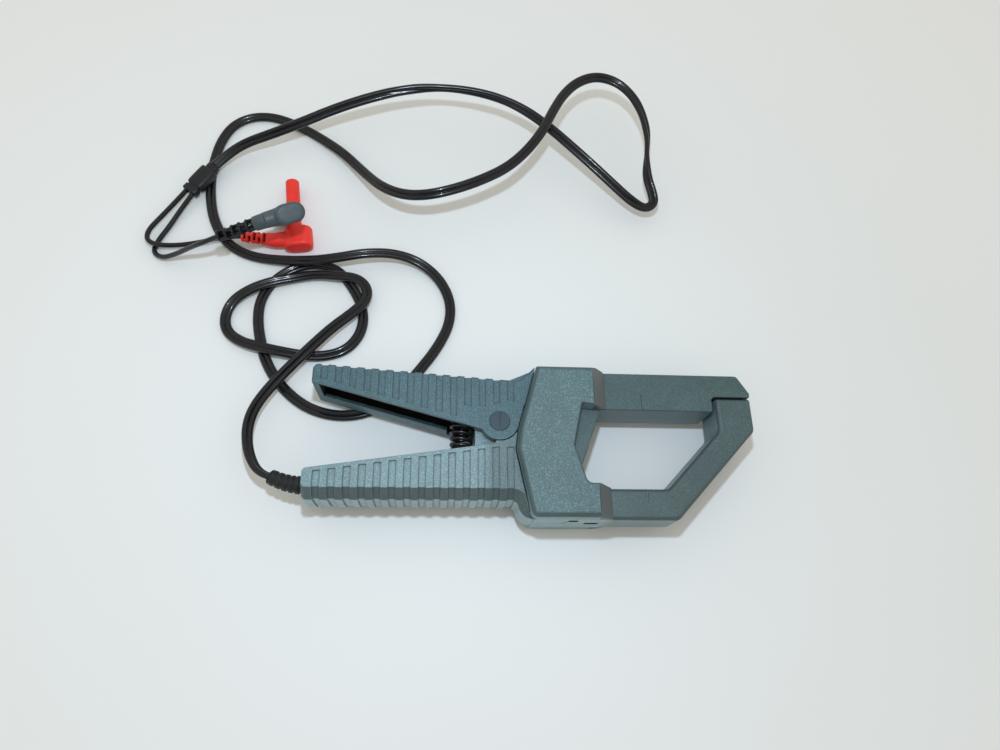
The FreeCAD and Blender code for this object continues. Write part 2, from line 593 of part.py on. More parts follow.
HEAD_SCREWS = [(20.4, -47.0, 1.0, 42.0), (15.0, -24.5, 1.0, 42.0)]
HANDLE_SCREWS = [(-90.0, -31.6, 7.0, 33.0), (-19.5, -34.0, 7.0, 33.0), (3.0, -35.0, 7.0, 34.0)]
LEVER_SCREWS = [(8.0, 17.5, 6.5, 36.0), (-2.0, 20.0, 6.5, 36.0)]
BOARD_SCREWS = [(-79.0, -34.5, 23.3, 0), (-31.0, -32.0, 23.3, 0)]


# ------------------------------------------------------------------- inside the handle
BOARD_LOW = V(-84.0, -41.0, MID_Z - 0.8)
BOARD_HIGH = V(-26.0, -30.0, MID_Z + 0.8)


def circuit_board():
    board = block(tuple(BOARD_LOW), tuple(BOARD_HIGH))
    holes = [disc(x, y, 1.2, 0, HEAD_Z) for x, y, _, _ in BOARD_SCREWS]
    return board.cut(holes)


def board_parts():
    """Burden resistor, trimmer and two small parts on the board."""
    top = BOARD_HIGH.z
    resistor = Part.makeCylinder(2.4, 16.0, V(-64.0, -36.0, top + 2.4), V(1, 0, 0))
    trimmer = block((-44.0, -40.0, top), (-37.0, -33.0, top + 5.0))
    chips = [block((x, -34.0, top), (x + 3.2, -31.5, top + 1.2)) for x in (-72.0, -58.0)]
    return Part.makeCompound([resistor, trimmer] + chips)


def board_posts():
    """Posts of the lower shell that carry the board."""
    low = flip_z(HANDLE_TOP) + WALL - 0.2
    return [disc(x, y, 2.6, low, BOARD_LOW.z) for x, y, _, _ in BOARD_SCREWS]


def board_screws():
    screws = []
    for x, y, z, _ in BOARD_SCREWS:
        head = disc(x, y, 2.2, z, z + 1.4)
        screws.append(head.fuse(disc(x, y, 1.2, BOARD_LOW.z - 5.0, z)))
    return Part.makeCompound(screws)


def cord_anchor():
    """Clamp block that grips the cord behind the strain relief."""
    return block((-101.5, -39.0, MID_Z - 6.0), (-96.0, -31.5, MID_Z + 6.0))


def inner_leads():
    """Two insulated wires from the anchor to the board's end."""
    wires = []
    for y in (-38.2, -36.0):
        wires.append(Part.makeCylinder(0.9, 12.0, V(-96.0, y, MID_Z), V(1, 0, 0)))
    return Part.makeCompound(wires)


def strain_relief():
    """Tapered boot out of the end of the fixed handle, with a flange inside."""
    root = V(TAIL_X, EXIT_Y, MID_Z)
    tip = V(*RELIEF_TIP)
    axis = tip - root
    cone = Part.makeCone(4.9, 3.7, axis.Length, root, axis)
    ball = Part.makeSphere(4.9, root)
    neck = Part.makeCylinder(4.9, WALL, root, V(1, 0, 0))
    flange = Part.makeCylinder(6.4, 2.0, V(TAIL_X + WALL, EXIT_Y, MID_Z), V(1, 0, 0))
    outside = cone.fuse(ball).common(block((-150, -60, 0), (TAIL_X, 0, HEAD_Z)))
    return outside.fuse([neck, flange])


# ------------------------------------------------------------------- spring and liner
def handle_spring():
    """Compression spring between the handles, drawn as the tube that its coils fill."""
    length = SPRING_HEAD_Y - SPRING_FOOT_Y
    foot = V(SPRING_X, SPRING_FOOT_Y, MID_Z)
    tube = Part.makeCylinder(SPRING_R, length, foot, V(0, 1, 0))
    return tube.cut(Part.makeCylinder(SPRING_R - SPRING_WIRE, length, foot, V(0, 1, 0)))


def spring_cup():
    """Seat that holds the spring's upper end inside the channel."""
    back = lever_outer_y(SPRING_X) - WALL - 0.8
    seat = Part.makeCylinder(SPRING_R + 0.4, back - SPRING_HEAD_Y,
                             V(SPRING_X, SPRING_HEAD_Y, MID_Z), V(0, 1, 0))
    post = Part.makeCylinder(3.6, 6.0, V(SPRING_X, SPRING_HEAD_Y - 4.0, MID_Z), V(0, 1, 0))
    return seat.fuse(post)


def channel_liner():
    """Black folded channel that stiffens the moving handle."""
    skin = 1.2
    low = flip_z(HANDLE_TOP) + PLATE
    high = HANDLE_TOP - PLATE
    outer = prism(channel_plan(0.05, False), low + 0.05, high - 0.05)
    inner = prism(channel_plan(skin, True), low + skin, high - skin)
    hinge_side = block((CHANNEL_X[1] - 1.9, -20, 0), (0, 40, HEAD_Z))
    return outer.cut([inner, hinge_side])


# ------------------------------------------------------------------- cord and leads
def tangent_path(points):
    """Straight runs joined by tangent arcs: the wire, its length and the arcs' radii."""
    corners = [V(*p) for p in points]
    edges = []
    radii = []
    start = corners[0]
    for before, here, after in zip(corners, corners[1:], corners[2:]):
        incoming = here - before
        outgoing = after - here
        reach = 0.45 * min(incoming.Length, outgoing.Length)
        turn = incoming.getAngle(outgoing)
        radius = reach / math.tan(turn / 2.0)
        incoming.normalize()
        outgoing.normalize()
        arc_start = here - incoming * reach
        arc_end = here + outgoing * reach
        towards = outgoing - incoming
        towards.normalize()
        middle = here + towards * (radius / math.cos(turn / 2.0) - radius)
        edges.append(Part.LineSegment(start, arc_start).toShape())
        edges.append(Part.Arc(arc_start, middle, arc_end).toShape())
        radii.append(radius)
        start = arc_end
    edges.append(Part.LineSegment(start, corners[-1]).toShape())
    return Part.Wire(edges), sum(edge.Length for edge in edges), radii


def tube(name, points, diameter):
    """Round tube along a route, with its radii and volume printed."""
    wire, length, radii = tangent_path(points)
    direction = V(*points[1]) - V(*points[0])
    section = Part.Wire(Part.makeCircle(diameter / 2.0, V(*points[0]), direction))
    solid = wire.makePipeShell([section], True, False)
    expected = math.pi * (diameter / 2.0) ** 2 * length
    print(name, "length %.1f mm" % length, "smallest radii", [round(r, 1) for r in sorted(radii)[:5]])
    print(name, "volume over section times length: %.4f" % (solid.Volume / expected))
    return solid


# ------------------------------------------------------------------- splitter and plugs
def splitter():
    """Moulded block where the twin cord parts into two leads."""
    axis = SPLITTER_TAIL - SPLITTER_HEAD
    length = axis.Length
    half_w, half_h = 6.2, 3.8
    body = block((2.0, -half_w, -half_h), (length - 2.0, half_w, half_h))
    body = body.makeFillet(2.2, [e for e in body.Edges if e.BoundBox.XLength > length / 2])
    collars = [block((0, -4.6, -3.0), (2.0, 4.6, 3.0)), block((length - 2.0, -5.2, -3.0), (length, 5.2, 3.0))]
    return oriented(body.fuse(collars), SPLITTER_HEAD, axis, V(0, 0, 1))


def oriented(shape, origin, x_axis, z_hint):
    """Place a shape drawn about the origin with its X along x_axis."""
    x = V(x_axis).normalize()
    y = z_hint.cross(x).normalize()
    z = x.cross(y)
    turn = FreeCAD.Matrix(x.x, y.x, z.x, origin.x, x.y, y.y, z.y, origin.y,
                          x.z, y.z, z.z, origin.z, 0, 0, 0, 1)
    placed = shape.copy()
    placed.Placement = FreeCAD.Placement(turn)
    return placed


def plug_body():
    """Elbow and shroud; the cable comes along +X and the shroud points along -Z."""
    barrel = Part.makeCone(BARREL_R, 6.0, PLUG_BACK, V(-PLUG_BACK, 0, 0), V(1, 0, 0))
    elbow = prism(ELBOW_PLAN, -7.0, 8.0)
    elbow = fillet_where(elbow, 3.0, lambda e: is_rim(e, 8.0))
    shroud = Part.makeCylinder(SHROUD_R, SHROUD_REACH, V(0, 0, -SHROUD_REACH), V(0, 0, 1))
    body = barrel.fuse([elbow, shroud])
    bore = Part.makeCylinder(SHROUD_BORE_R, SHROUD_REACH - 16.0, V(0, 0, -SHROUD_REACH - 1.0), V(0, 0, 1))
    return body.cut([bore, plug_contact()])


def plug_contact():
    """4 mm sprung contact in the middle of the shroud."""
    pin = Part.makeCylinder(CONTACT_R, SHROUD_REACH - 10.0, V(0, 0, 3.0 - SHROUD_REACH), V(0, 0, 1))
    tip = fillet_where(pin, 1.2, lambda e: is_rim(e, 3.0 - SHROUD_REACH))
    return tip


def boot_between(start, end):
    """Tapered cable boot."""
    axis = end - start
    return Part.makeCone(BOOT_R - 0.9, BOOT_R, axis.Length, start, axis)


def plug_set(name, at, cable, shroud, boot_start):
    """Body, contact and boot of one plug, placed where it lies."""
    towards = V(cable).normalize()
    body = oriented(plug_body(), at, towards, shroud * -1.0)
    contact = oriented(plug_contact(), at, towards, shroud * -1.0)
    boot = boot_between(boot_start, at - towards * (PLUG_BACK - 1.0))
    save(name + "_plug_body", body.cut(boot), False)
    save(name + "_contact", contact, False)
    save(name + "_boot", boot, False)


# ------------------------------------------------------------------- build
def build_fixed_arm():
    upper = fixed_upper_half()
    lower = flipped(upper).fuse(board_posts())
    upper = upper.cut(latch_slot())
    relief = strain_relief()
    core = laminated(FIXED_CORE)
    wells = [screw_well(*s) for s in HEAD_SCREWS + HANDLE_SCREWS]
    let_in = [core, coil_room(), relief, board_screws()] + wells
    save("body_shell_top", upper.cut(let_in))
    save("body_shell_bottom", lower.cut(let_in))
    cover = head_cover()
    save("head_cover_top", cover.cut(wells))
    save("head_cover_bottom", flipped(cover).cut(wells))
    save("fixed_core", core)
    save("coil_bobbin", coil_bobbin())
    save("coil_winding", coil_winding())
    save("circuit_board", circuit_board())
    save("board_parts", board_parts())
    save("board_screws", board_screws())
    save("inner_leads", inner_leads())
    save("cord_anchor", cord_anchor())
    save("hinge_bush", hinge_bush())
    save("strain_relief", relief)
    save("head_screws", Part.makeCompound([screw(*s) for s in HEAD_SCREWS]))
    save("handle_screws", Part.makeCompound([screw(*s) for s in HANDLE_SCREWS]))
    save("handle_spring", handle_spring())


def build_moving_arm():
    upper = lever_upper_half()
    lower = flipped(upper)
    rim = prism(channel_plan(0.0, True), flip_z(HANDLE_TOP) + PLATE - 0.2, RIM_TOP)
    rim = rim.common(lever_rim_band())
    lower = lower.fuse(rim)
    core = laminated(MOVING_CORE)
    caps = [pin_cap(), flipped(pin_cap())]
    cap_seats = [disc(0, 0, CAP_R, HANDLE_TOP - 1.2, HEAD_Z), disc(0, 0, CAP_R, 0, flip_z(HANDLE_TOP - 1.2))]
    wells = [screw_well(*s) for s in LEVER_SCREWS]
    let_in = [core, hinge_pin()] + cap_seats + wells
    save("lever_shell_top", upper.cut(let_in))
    save("lever_shell_bottom", lower.cut(let_in))
    save("moving_core", core)
    save("hinge_pin", hinge_pin())
    save("pin_cap_top", caps[0])
    save("pin_cap_bottom", caps[1])
    cup = spring_cup()
    save("channel_liner", channel_liner().cut(cup))
    save("spring_cup", cup)
    save("lever_screws", Part.makeCompound([screw(*s) for s in LEVER_SCREWS]))


def lever_rim_band():
    """Plan of the lower lip of the channel, stopped short of the spring."""
    left = CHANNEL_X[0] - 1.0
    right = SPRING_X - SPRING_R - 1.6
    return prism([(left, lever_inner_y(left)), (left, lever_inner_y(left) + 2.15),
                  (right, lever_inner_y(right) + 2.15), (right, lever_inner_y(right))], 0.0, HEAD_Z)


def build_cord():
    save("cord_twin", tube("cord", CORD_ROUTE, CORD_D), False)
    save("lead_red", tube("red lead", RED_LEAD_ROUTE, LEAD_D), False)
    save("lead_black", tube("black lead", BLACK_LEAD_ROUTE, LEAD_D), False)
    save("cord_splitter", splitter(), False)
    plug_set("red", RED_PLUG_AT, RED_PLUG_CABLE, RED_PLUG_SHROUD, RED_BOOT_START)
    plug_set("black", BLACK_PLUG_AT, BLACK_PLUG_CABLE, BLACK_PLUG_SHROUD, BLACK_BOOT_START)


os.makedirs("parts", exist_ok=True)
build_fixed_arm()
build_moving_arm()
build_cord()
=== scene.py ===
import bpy
import math
from collections import namedtuple
from mathutils import Matrix, Vector


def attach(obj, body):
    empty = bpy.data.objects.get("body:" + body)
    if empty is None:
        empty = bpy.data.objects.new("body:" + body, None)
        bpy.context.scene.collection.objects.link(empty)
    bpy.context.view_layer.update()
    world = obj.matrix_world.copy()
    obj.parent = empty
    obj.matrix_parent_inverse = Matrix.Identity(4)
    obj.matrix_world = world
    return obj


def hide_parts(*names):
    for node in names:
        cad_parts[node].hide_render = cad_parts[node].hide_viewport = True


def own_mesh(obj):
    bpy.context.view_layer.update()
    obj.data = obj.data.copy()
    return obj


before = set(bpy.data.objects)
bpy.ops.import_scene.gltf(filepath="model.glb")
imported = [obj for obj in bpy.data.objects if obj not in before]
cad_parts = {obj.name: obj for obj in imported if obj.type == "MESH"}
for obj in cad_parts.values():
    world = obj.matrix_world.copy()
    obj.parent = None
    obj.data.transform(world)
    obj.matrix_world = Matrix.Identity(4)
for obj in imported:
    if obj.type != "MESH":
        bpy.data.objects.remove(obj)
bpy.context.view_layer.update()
# Lengths are in metres, apart from those that are multiplied by MM where they are used.
MM = 0.001

# ------------------------------------------------------------------ camera
CAMERA_PLACE = (-0.0559, -0.1111, 0.4173)
CAMERA_FORWARD = (0.0828, 0.3694, -0.9256)
CAMERA_RIGHT = (0.9963, -0.0100, 0.0851)
CAMERA_LENS_MM = 24.66
SENSOR_WIDTH_MM = 36.0


def set_camera():
    """Hand-held view from above and a little in front of the fixed handle."""
    data = bpy.data.cameras.new("camera")
    data.lens = CAMERA_LENS_MM
    data.sensor_width = SENSOR_WIDTH_MM
    data.clip_start = 0.01
    camera = bpy.data.objects.new("camera", data)
    bpy.context.scene.collection.objects.link(camera)
    forward = Vector(CAMERA_FORWARD).normalized()
    right = Vector(CAMERA_RIGHT)
    right = (right - forward * right.dot(forward)).normalized()
    upward = right.cross(forward)
    turn = Matrix((right, upward, -forward)).transposed().to_4x4()
    camera.matrix_world = Matrix.Translation(CAMERA_PLACE) @ turn
    bpy.context.scene.camera = camera


# ------------------------------------------------------------------ node helpers
SHADER_SOCKETS = {
    "colour": "Base Color", "rough": "Roughness", "normal": "Normal", "metal": "Metallic",
    "specular": "Specular IOR Level", "coat": "Coat Weight", "coat_rough": "Coat Roughness",
}


def shade(colour):
    """sRGB 0-255 to the linear colour that a socket takes."""
    linear = []
    for value in colour:
        part = value / 255.0
        linear.append(part / 12.92 if part <= 0.04045 else ((part + 0.055) / 1.055) ** 2.4)
    return (*linear, 1.0)


class Nodes:
    """Short way to write a node tree. Colours are sRGB 0-255, and each method gives an output socket."""

    def __init__(self, tree):
        self.tree = tree

    def add(self, kind, **values):
        node = self.tree.nodes.new(kind)
        for key, value in values.items():
            setattr(node, key, value)
        return node

    def link(self, source, target):
        self.tree.links.new(source, target)

    def put(self, target, value):
        """Set a socket to a number or a colour, or link another socket to it."""
        if isinstance(value, tuple):
            target.default_value = shade(value)
        elif isinstance(value, (int, float)):
            target.default_value = value
        else:
            self.link(value, target)

    def coords(self, kind="Object"):
        return self.add("ShaderNodeTexCoord").outputs[kind]

    def noise(self, point, scale, detail, rough):
        node = self.add("ShaderNodeTexNoise")
        node.inputs["Scale"].default_value = scale
        node.inputs["Detail"].default_value = detail
        node.inputs["Roughness"].default_value = rough
        self.link(point, node.inputs["Vector"])
        return node.outputs["Fac"]

    def voronoi(self, point, scale, feature="F1"):
        node = self.add("ShaderNodeTexVoronoi", feature=feature)
        node.inputs["Scale"].default_value = scale
        self.link(point, node.inputs["Vector"])
        return node.outputs["Distance"]

    def ramp(self, value, low_stop, high_stop):
        """Colour that runs between two stops of (position, colour)."""
        node = self.add("ShaderNodeValToRGB")
        self.link(value, node.inputs["Fac"])
        for element, (position, colour) in zip(node.color_ramp.elements, (low_stop, high_stop)):
            element.position = position
            element.color = shade(colour)
        return node.outputs["Color"]

    def mix(self, factor, first, second, blend="MIX"):
        node = self.add("ShaderNodeMix", data_type="RGBA", blend_type=blend)
        factor_in, first_in, second_in = (node.inputs[i] for i in (0, 6, 7))
        self.put(factor_in, factor)
        self.put(first_in, first)
        self.put(second_in, second)
        return node.outputs[2]

    def maths(self, operation, *values):
        node = self.add("ShaderNodeMath", operation=operation)
        for target, value in zip(node.inputs, values):
            self.put(target, value)
        return node.outputs[0]

    def product(self, *factors):
        result = factors[0]
        for factor in factors[1:]:
            result = self.maths("MULTIPLY", result, factor)
        return result

    def dot(self, first, second):
        node = self.add("ShaderNodeVectorMath", operation="DOT_PRODUCT")
        self.link(first, node.inputs[0])
        if isinstance(second, tuple):
            node.inputs[1].default_value = second
        else:
            self.link(second, node.inputs[1])
        return node.outputs["Value"]

    def span(self, value, low, high, out_low=0.0, out_high=1.0):
        """Smooth step of a value from low to high, as a number from out_low to out_high."""
        node = self.add("ShaderNodeMapRange", interpolation_type="SMOOTHSTEP")
        self.link(value, node.inputs["Value"])
        node.inputs["From Min"].default_value = low
        node.inputs["From Max"].default_value = high
        node.inputs["To Min"].default_value = out_low
        node.inputs["To Max"].default_value = out_high
        return node.outputs["Result"]

    def bump(self, height, strength, distance, normal=None):
        node = self.add("ShaderNodeBump")
        node.inputs["Strength"].default_value = strength
        node.inputs["Distance"].default_value = distance
        self.link(height, node.inputs["Height"])
        if normal is not None:
            self.link(normal, node.inputs["Normal"])
        return node.outputs["Normal"]

    def bevel(self, radius):
        node = self.add("ShaderNodeBevel", samples=4)
        node.inputs["Radius"].default_value = radius
        return node.outputs["Normal"]

    def cavity(self, distance):
        node = self.add("ShaderNodeAmbientOcclusion", samples=6)
        node.inputs["Distance"].default_value = distance
        return node.outputs["AO"]

    def axes(self, vector):
        node = self.add("ShaderNodeSeparateXYZ")
        self.link(vector, node.inputs[0])
        return node.outputs


class MaterialNodes(Nodes):
    """Node tree of a new material, which ends in its own shader."""

    def __init__(self, name):
        self.material = bpy.data.materials.new(name)
        self.material.use_nodes = True
        super().__init__(self.material.node_tree)
        self.shader = self.tree.nodes["Principled BSDF"]

    def finish(self, **values):
        """Set or link the shader's sockets, and give the material."""
        for key, value in values.items():
            self.put(self.shader.inputs[SHADER_SOCKETS[key]], value)
        return self.material


# ------------------------------------------------------------------ light and floor
LAMP_PLACE = (-0.06, 0.015, 0.47)
LAMP_TARGET = (-0.04, 0.06, 0.0)
LAMP_SIZE = 0.022
LAMP_WATTS = 1.19
LAMP_COLOUR = (0.70, 0.82, 0.96)
ROOM_COLOUR = (1.0, 0.935, 0.845)
ROOM_LOW_STRENGTH = 0.81
ROOM_HIGH_STRENGTH = 0.72
DARK_SIDE = (-0.05, -0.965, 0.26)
DARK_SIDE_SHARE = 0.42
FLOOR_REACH = 3.0


def set_lamp():
    """Small cool lamp high over the handles."""
    data = bpy.data.lights.new("lamp", "AREA")
    data.energy = LAMP_WATTS
    data.color = LAMP_COLOUR
    data.size = LAMP_SIZE
    lamp = bpy.data.objects.new("lamp", data)
    bpy.context.scene.collection.objects.link(lamp)
    lamp.location = LAMP_PLACE
    lamp.rotation_euler = (Vector(LAMP_TARGET) - Vector(LAMP_PLACE)).to_track_quat("-Z", "Y").to_euler()


def set_room():
    """Warm, nearly even room, with a dark side where the viewer stands."""
    world = bpy.data.worlds.new("studio")
    bpy.context.scene.world = world
    world.use_nodes = True
    n = Nodes(world.node_tree)
    direction = n.coords("Generated")
    dark = n.span(n.dot(direction, DARK_SIDE), 0.81, 0.95, 1.0, DARK_SIDE_SHARE)
    height = n.axes(direction)["Z"]
    level = n.span(height, -0.1, 0.8, ROOM_LOW_STRENGTH, ROOM_HIGH_STRENGTH)
    background = world.node_tree.nodes["Background"]
    background.inputs["Color"].default_value = (*ROOM_COLOUR, 1.0)
    n.link(n.product(dark, level), background.inputs["Strength"])


def set_floor():
    """Large flat table top that the object lies on."""
    mesh = bpy.data.meshes.new("floor")
    corners = [(-FLOOR_REACH, -FLOOR_REACH, 0), (FLOOR_REACH, -FLOOR_REACH, 0),
               (FLOOR_REACH, FLOOR_REACH, 0), (-FLOOR_REACH, FLOOR_REACH, 0)]
    mesh.from_pydata(corners, [], [(0, 1, 2, 3)])
    floor = bpy.data.objects.new("floor", mesh)
    bpy.context.scene.collection.objects.link(floor)
    mesh.materials.append(floor_material())


def set_stage():
    """Room, lamp and floor, with colours shown as they are."""
    set_room()
    set_lamp()
    set_floor()
    view = bpy.context.scene.view_settings
    view.view_transform = "Standard"
    view.look = "None"
    view.exposure = 0.0
    view.gamma = 1.0


# ------------------------------------------------------------------ materials
def floor_material():
    """Pale table top with faint patches; its colour is painted paler away from the middle, as painted light
    that makes up for the lamp's falloff.
    """
    n = MaterialNodes("stage_floor")
    point = n.coords()
    reach = n.add("ShaderNodeVectorMath", operation="LENGTH")
    n.link(point, reach.inputs[0])
    # Painted light: paler away from the middle, against the lamp's falloff.
    edge = n.span(reach.outputs["Value"], 0.10, 0.62)
    patches = n.noise(point, 1.6, 3.0, 0.5)
    middle = n.ramp(patches, (0.3, (222, 228, 228)), (0.7, (226, 232, 234)))
    return n.finish(colour=n.mix(edge, middle, (245, 252, 255)), rough=0.6, specular=0.25)


# A stretch of a casing: x it begins at, colours of its tops, slopes and upright walls, sparkle and gloss.
# These colours hold painted light: the tops carry painted sheen that is brightest on the handle, the slopes
# are darkened as painted shade, and the upright walls are made paler as painted light reflected from the
# floor.
Region = namedtuple("Region", "start top slope wall sparkle gloss")
# The first stretch of a casing begins before the handle's end.
CORD_END = -0.2
HANDLE = Region(CORD_END, (94, 131, 139), (61, 84, 88), (140, 170, 176), 0.42, 0.95)
BLOCK = Region(-0.030, (62, 98, 103), (56, 80, 84), (134, 164, 170), 0.20, 0.85)
FIXED_JAW = Region(0.040, (57, 82, 85), (54, 73, 76), (100, 126, 130), 0.06, 0.65)
GRIP = Region(CORD_END, (54, 92, 102), (56, 84, 92), (84, 112, 120), 0.16, 0.50)
MOVING_JAW = Region(0.010, (61, 88, 91), (64, 84, 88), (84, 108, 113), 0.05, 0.55)
COVER = Region(CORD_END, (60, 98, 103), (52, 79, 83), (118, 146, 152), 0.24, 0.80)
REGION_BLEND = 0.004
# Latch slots in the head block's side, as x from and to and z from and to. They are painted black as shade
# between two depths in y, from just inside the outer face to the back of the slot, and each depth is a soft
# step.
LATCH_SLOTS = [(0.0130, 0.0226, 0.0224, 0.0324), (0.0271, 0.0352, 0.0201, 0.0249)]
LATCH_OUTER_Y = (-0.0449, -0.0447)
LATCH_INNER_Y = (-0.0425, -0.0430)
COVER_RAMP_X = 0.0327
PARTING_Z = 0.0225
SLOT_SHADE = (20, 24, 25)
HOLLOW_SHADE = (34, 41, 43)
GLINT = (176, 196, 202)
WORN_RIM = (122, 142, 148)
SCUFF = (158, 168, 168)
SEAM = (28, 34, 36)
RAMP_GREY = (77, 87, 87)


def region_looks(n, regions, x, flat_top, wall):
    """Colour, sparkle and gloss along the probe, blended from each region into the next. The colour is
    painted light: painted sheen on the tops, painted shade on the slopes and paler painted light on the
    walls.
    """
    first = regions[0]
    colour = n.mix(wall, n.mix(flat_top, first.slope, first.top), first.wall)
    sparkle = first.sparkle
    gloss = first.gloss
    for last, region in zip(regions, regions[1:]):
        here = n.mix(wall, n.mix(flat_top, region.slope, region.top), region.wall)
        inside = n.span(x, region.start - REGION_BLEND, region.start + REGION_BLEND)
        colour = n.mix(inside, colour, here)
        sparkle = n.maths("MULTIPLY_ADD", inside, region.sparkle - last.sparkle, sparkle)
        gloss = n.maths("MULTIPLY_ADD", inside, region.gloss - last.gloss, gloss)
    return colour, sparkle, gloss


def mottled(n, colour, point, fine):
    """The colour with fine dark and light grains and broad, faint patches."""
    broad = n.noise(point, 38.0, 3.0, 0.6)
    flecks = n.product(n.span(fine, 0.35, 0.72, 0.78, 1.26), n.span(broad, 0.3, 0.7, 0.90, 1.08))
    grey = n.add("ShaderNodeCombineColor")
    for channel in grey.inputs:
        n.link(flecks, channel)
    return n.mix(1.0, colour, grey.outputs[0], "MULTIPLY")


def glinting(n, colour, point, flat_top, sparkle):
    """Pale points on the flat tops, where the grain catches the light."""
    points = n.span(n.noise(point, 1500.0, 1.0, 0.5), 0.59, 0.68)
    return n.mix(n.product(points, flat_top, sparkle), colour, GLINT)


def shade_and_wear(n, colour, point, flat_top, rounded, hollow):
    """Painted shade in the hollows, pale rims where the edges are rubbed, and long scuffs on the tops."""
    # Painted shade: the hollows are darkened by ambient occlusion.
    colour = n.mix(n.maths("SUBTRACT", 1.0, hollow), colour, HOLLOW_SHADE)
    flat = n.add("ShaderNodeNewGeometry").outputs["Normal"]
    rim = n.span(n.dot(rounded, flat), 0.997, 0.90)
    rubbed = n.span(n.noise(point, 260.0, 3.0, 0.6), 0.35, 0.62, 0.15, 0.75)
    colour = n.mix(n.product(rim, rubbed, hollow), colour, WORN_RIM)
    squeeze = n.add("ShaderNodeMapping")
    squeeze.inputs["Scale"].default_value = (1.0, 5.0, 1.0)
    squeeze.inputs["Rotation"].default_value = (0.0, 0.0, 0.5)
    n.link(point, squeeze.inputs["Vector"])
    scuff = n.span(n.noise(squeeze.outputs[0], 150.0, 4.0, 0.7), 0.64, 0.74)
    return n.mix(n.product(scuff, n.product(flat_top, 0.34)), colour, SCUFF)


def seamed(n, colour, z):
    """Thin dark parting line at half height."""
    away = n.maths("ABSOLUTE", n.maths("SUBTRACT", z, PARTING_Z))
    line = n.span(away, 0.00012, 0.00026, 1.0, 0.0)
    return n.mix(n.product(line, 0.75), colour, SEAM)


def slotted(n, colour, x, y, z, slots):
    """Black painted shade inside the latch slots."""
    soft_edge = 0.0002
    for x_low, x_high, z_low, z_high in slots:
        inside = n.product(n.span(y, *LATCH_OUTER_Y), n.span(y, *LATCH_INNER_Y))
        for value, low, high in ((x, x_low, x_high), (z, z_low, z_high)):
            after = n.span(value, low - soft_edge, low - soft_edge / 2)
            before = n.span(value, high + soft_edge, high + soft_edge / 2)
            inside = n.product(inside, after, before)
        colour = n.mix(inside, colour, SLOT_SHADE)
    return colour


def casing_material(name, regions, grain=1.0, smooth_from=None, slots=()):
    """Spark-textured plastic: a fine pebbled grain, painted shade in the hollows, pale worn edges, painted
    glints on the tops, and walls made paler as painted light.

    Past the x that smooth_from gives, the surface is a plain dull grey without grain.
    """
    n = MaterialNodes(name)
    point = n.coords()
    x, y, z = n.axes(point)
    upright = n.maths("ABSOLUTE", n.axes(n.coords("Normal"))[2])
    flat_top = n.span(upright, 0.90, 0.97)
    # Mask of the upright walls, which are given the paler painted light.
    wall = n.span(upright, 0.32, 0.14)
    fine = n.noise(point, 1500.0, 2.0, 0.6)
    pebble = n.voronoi(point, 2100.0)
    # Ambient occlusion, near 0 in hollows and 1 in the open; it places the painted shade in the hollows.
    hollow = n.span(n.cavity(0.0016), 0.45, 0.97)
    rounded = n.bevel(0.0007)
    colour, sparkle, gloss = region_looks(n, regions, x, flat_top, wall)
    colour = mottled(n, colour, point, fine)
    colour = glinting(n, colour, point, flat_top, sparkle)
    colour = shade_and_wear(n, colour, point, flat_top, rounded, hollow)
    colour = seamed(n, colour, z)
    colour = slotted(n, colour, x, y, z, slots)
    rough = n.span(fine, 0.3, 0.7, 0.33, 0.48)
    height = n.maths("MULTIPLY_ADD", pebble, 0.6, n.product(fine, 0.8))
    if smooth_from is not None:
        plain = n.span(x, smooth_from, smooth_from + 0.0006)
        colour = n.mix(plain, colour, RAMP_GREY)
        height = n.product(height, n.maths("SUBTRACT", 1.0, plain))
        rough = n.maths("MAXIMUM", rough, n.product(plain, 0.5))
    normal = n.bump(height, 0.60 * grain, 0.00035, rounded)
    return n.finish(colour=colour, rough=rough, normal=normal, specular=gloss)


def shifted(colour, change):
    """The colour with every channel moved by the same step."""
    return tuple(min(255, max(0, channel + change)) for channel in colour)


def plain_plastic(name, base, rough=0.45, grain=500.0, strength=0.12, spread=8, specular=0.5):
    """Satin moulding with a slight mottle and soft mould texture."""
    n = MaterialNodes(name)
    point = n.coords()
    broad = n.noise(point, 60.0, 3.0, 0.6)
    fine = n.noise(point, grain, 3.0, 0.6)
    colour = n.ramp(broad, (0.3, shifted(base, -spread)), (0.7, shifted(base, spread)))
    uneven = n.span(fine, 0.3, 0.7, rough - 0.06, rough + 0.08)
    return n.finish(colour=colour, rough=uneven, normal=n.bump(fine, strength, 0.00025), specular=specular)


def jacket_material(name):
    """Glossy flexible cable jacket with faint drawing marks and dust."""
    n = MaterialNodes(name)
    point = n.coords()
    dust = n.noise(point, 900.0, 4.0, 0.7)
    broad = n.noise(point, 45.0, 3.0, 0.6)
    colour = n.ramp(dust, (0.45, (11, 15, 20)), (0.80, (30, 34, 38)))
    rough = n.span(broad, 0.3, 0.7, 0.18, 0.30)
    normal = n.bump(n.noise(point, 700.0, 2.0, 0.5), 0.10, 0.0002)
    return n.finish(colour=colour, rough=rough, normal=normal, specular=0.30, coat=0.22, coat_rough=0.08)


def metal_material(name, base, rough):
    """Turned or plated metal with a fine, uneven brushing."""
    n = MaterialNodes(name)
    brushed = n.noise(n.coords(), 900.0, 3.0, 0.6)
    colour = n.ramp(brushed, (0.3, shifted(base, -16)), (0.7, shifted(base, 12)))
    uneven = n.span(brushed, 0.3, 0.7, rough - 0.08, rough + 0.12)
    return n.finish(colour=colour, rough=uneven, normal=n.bump(brushed, 0.08, 0.0001), metal=1.0)


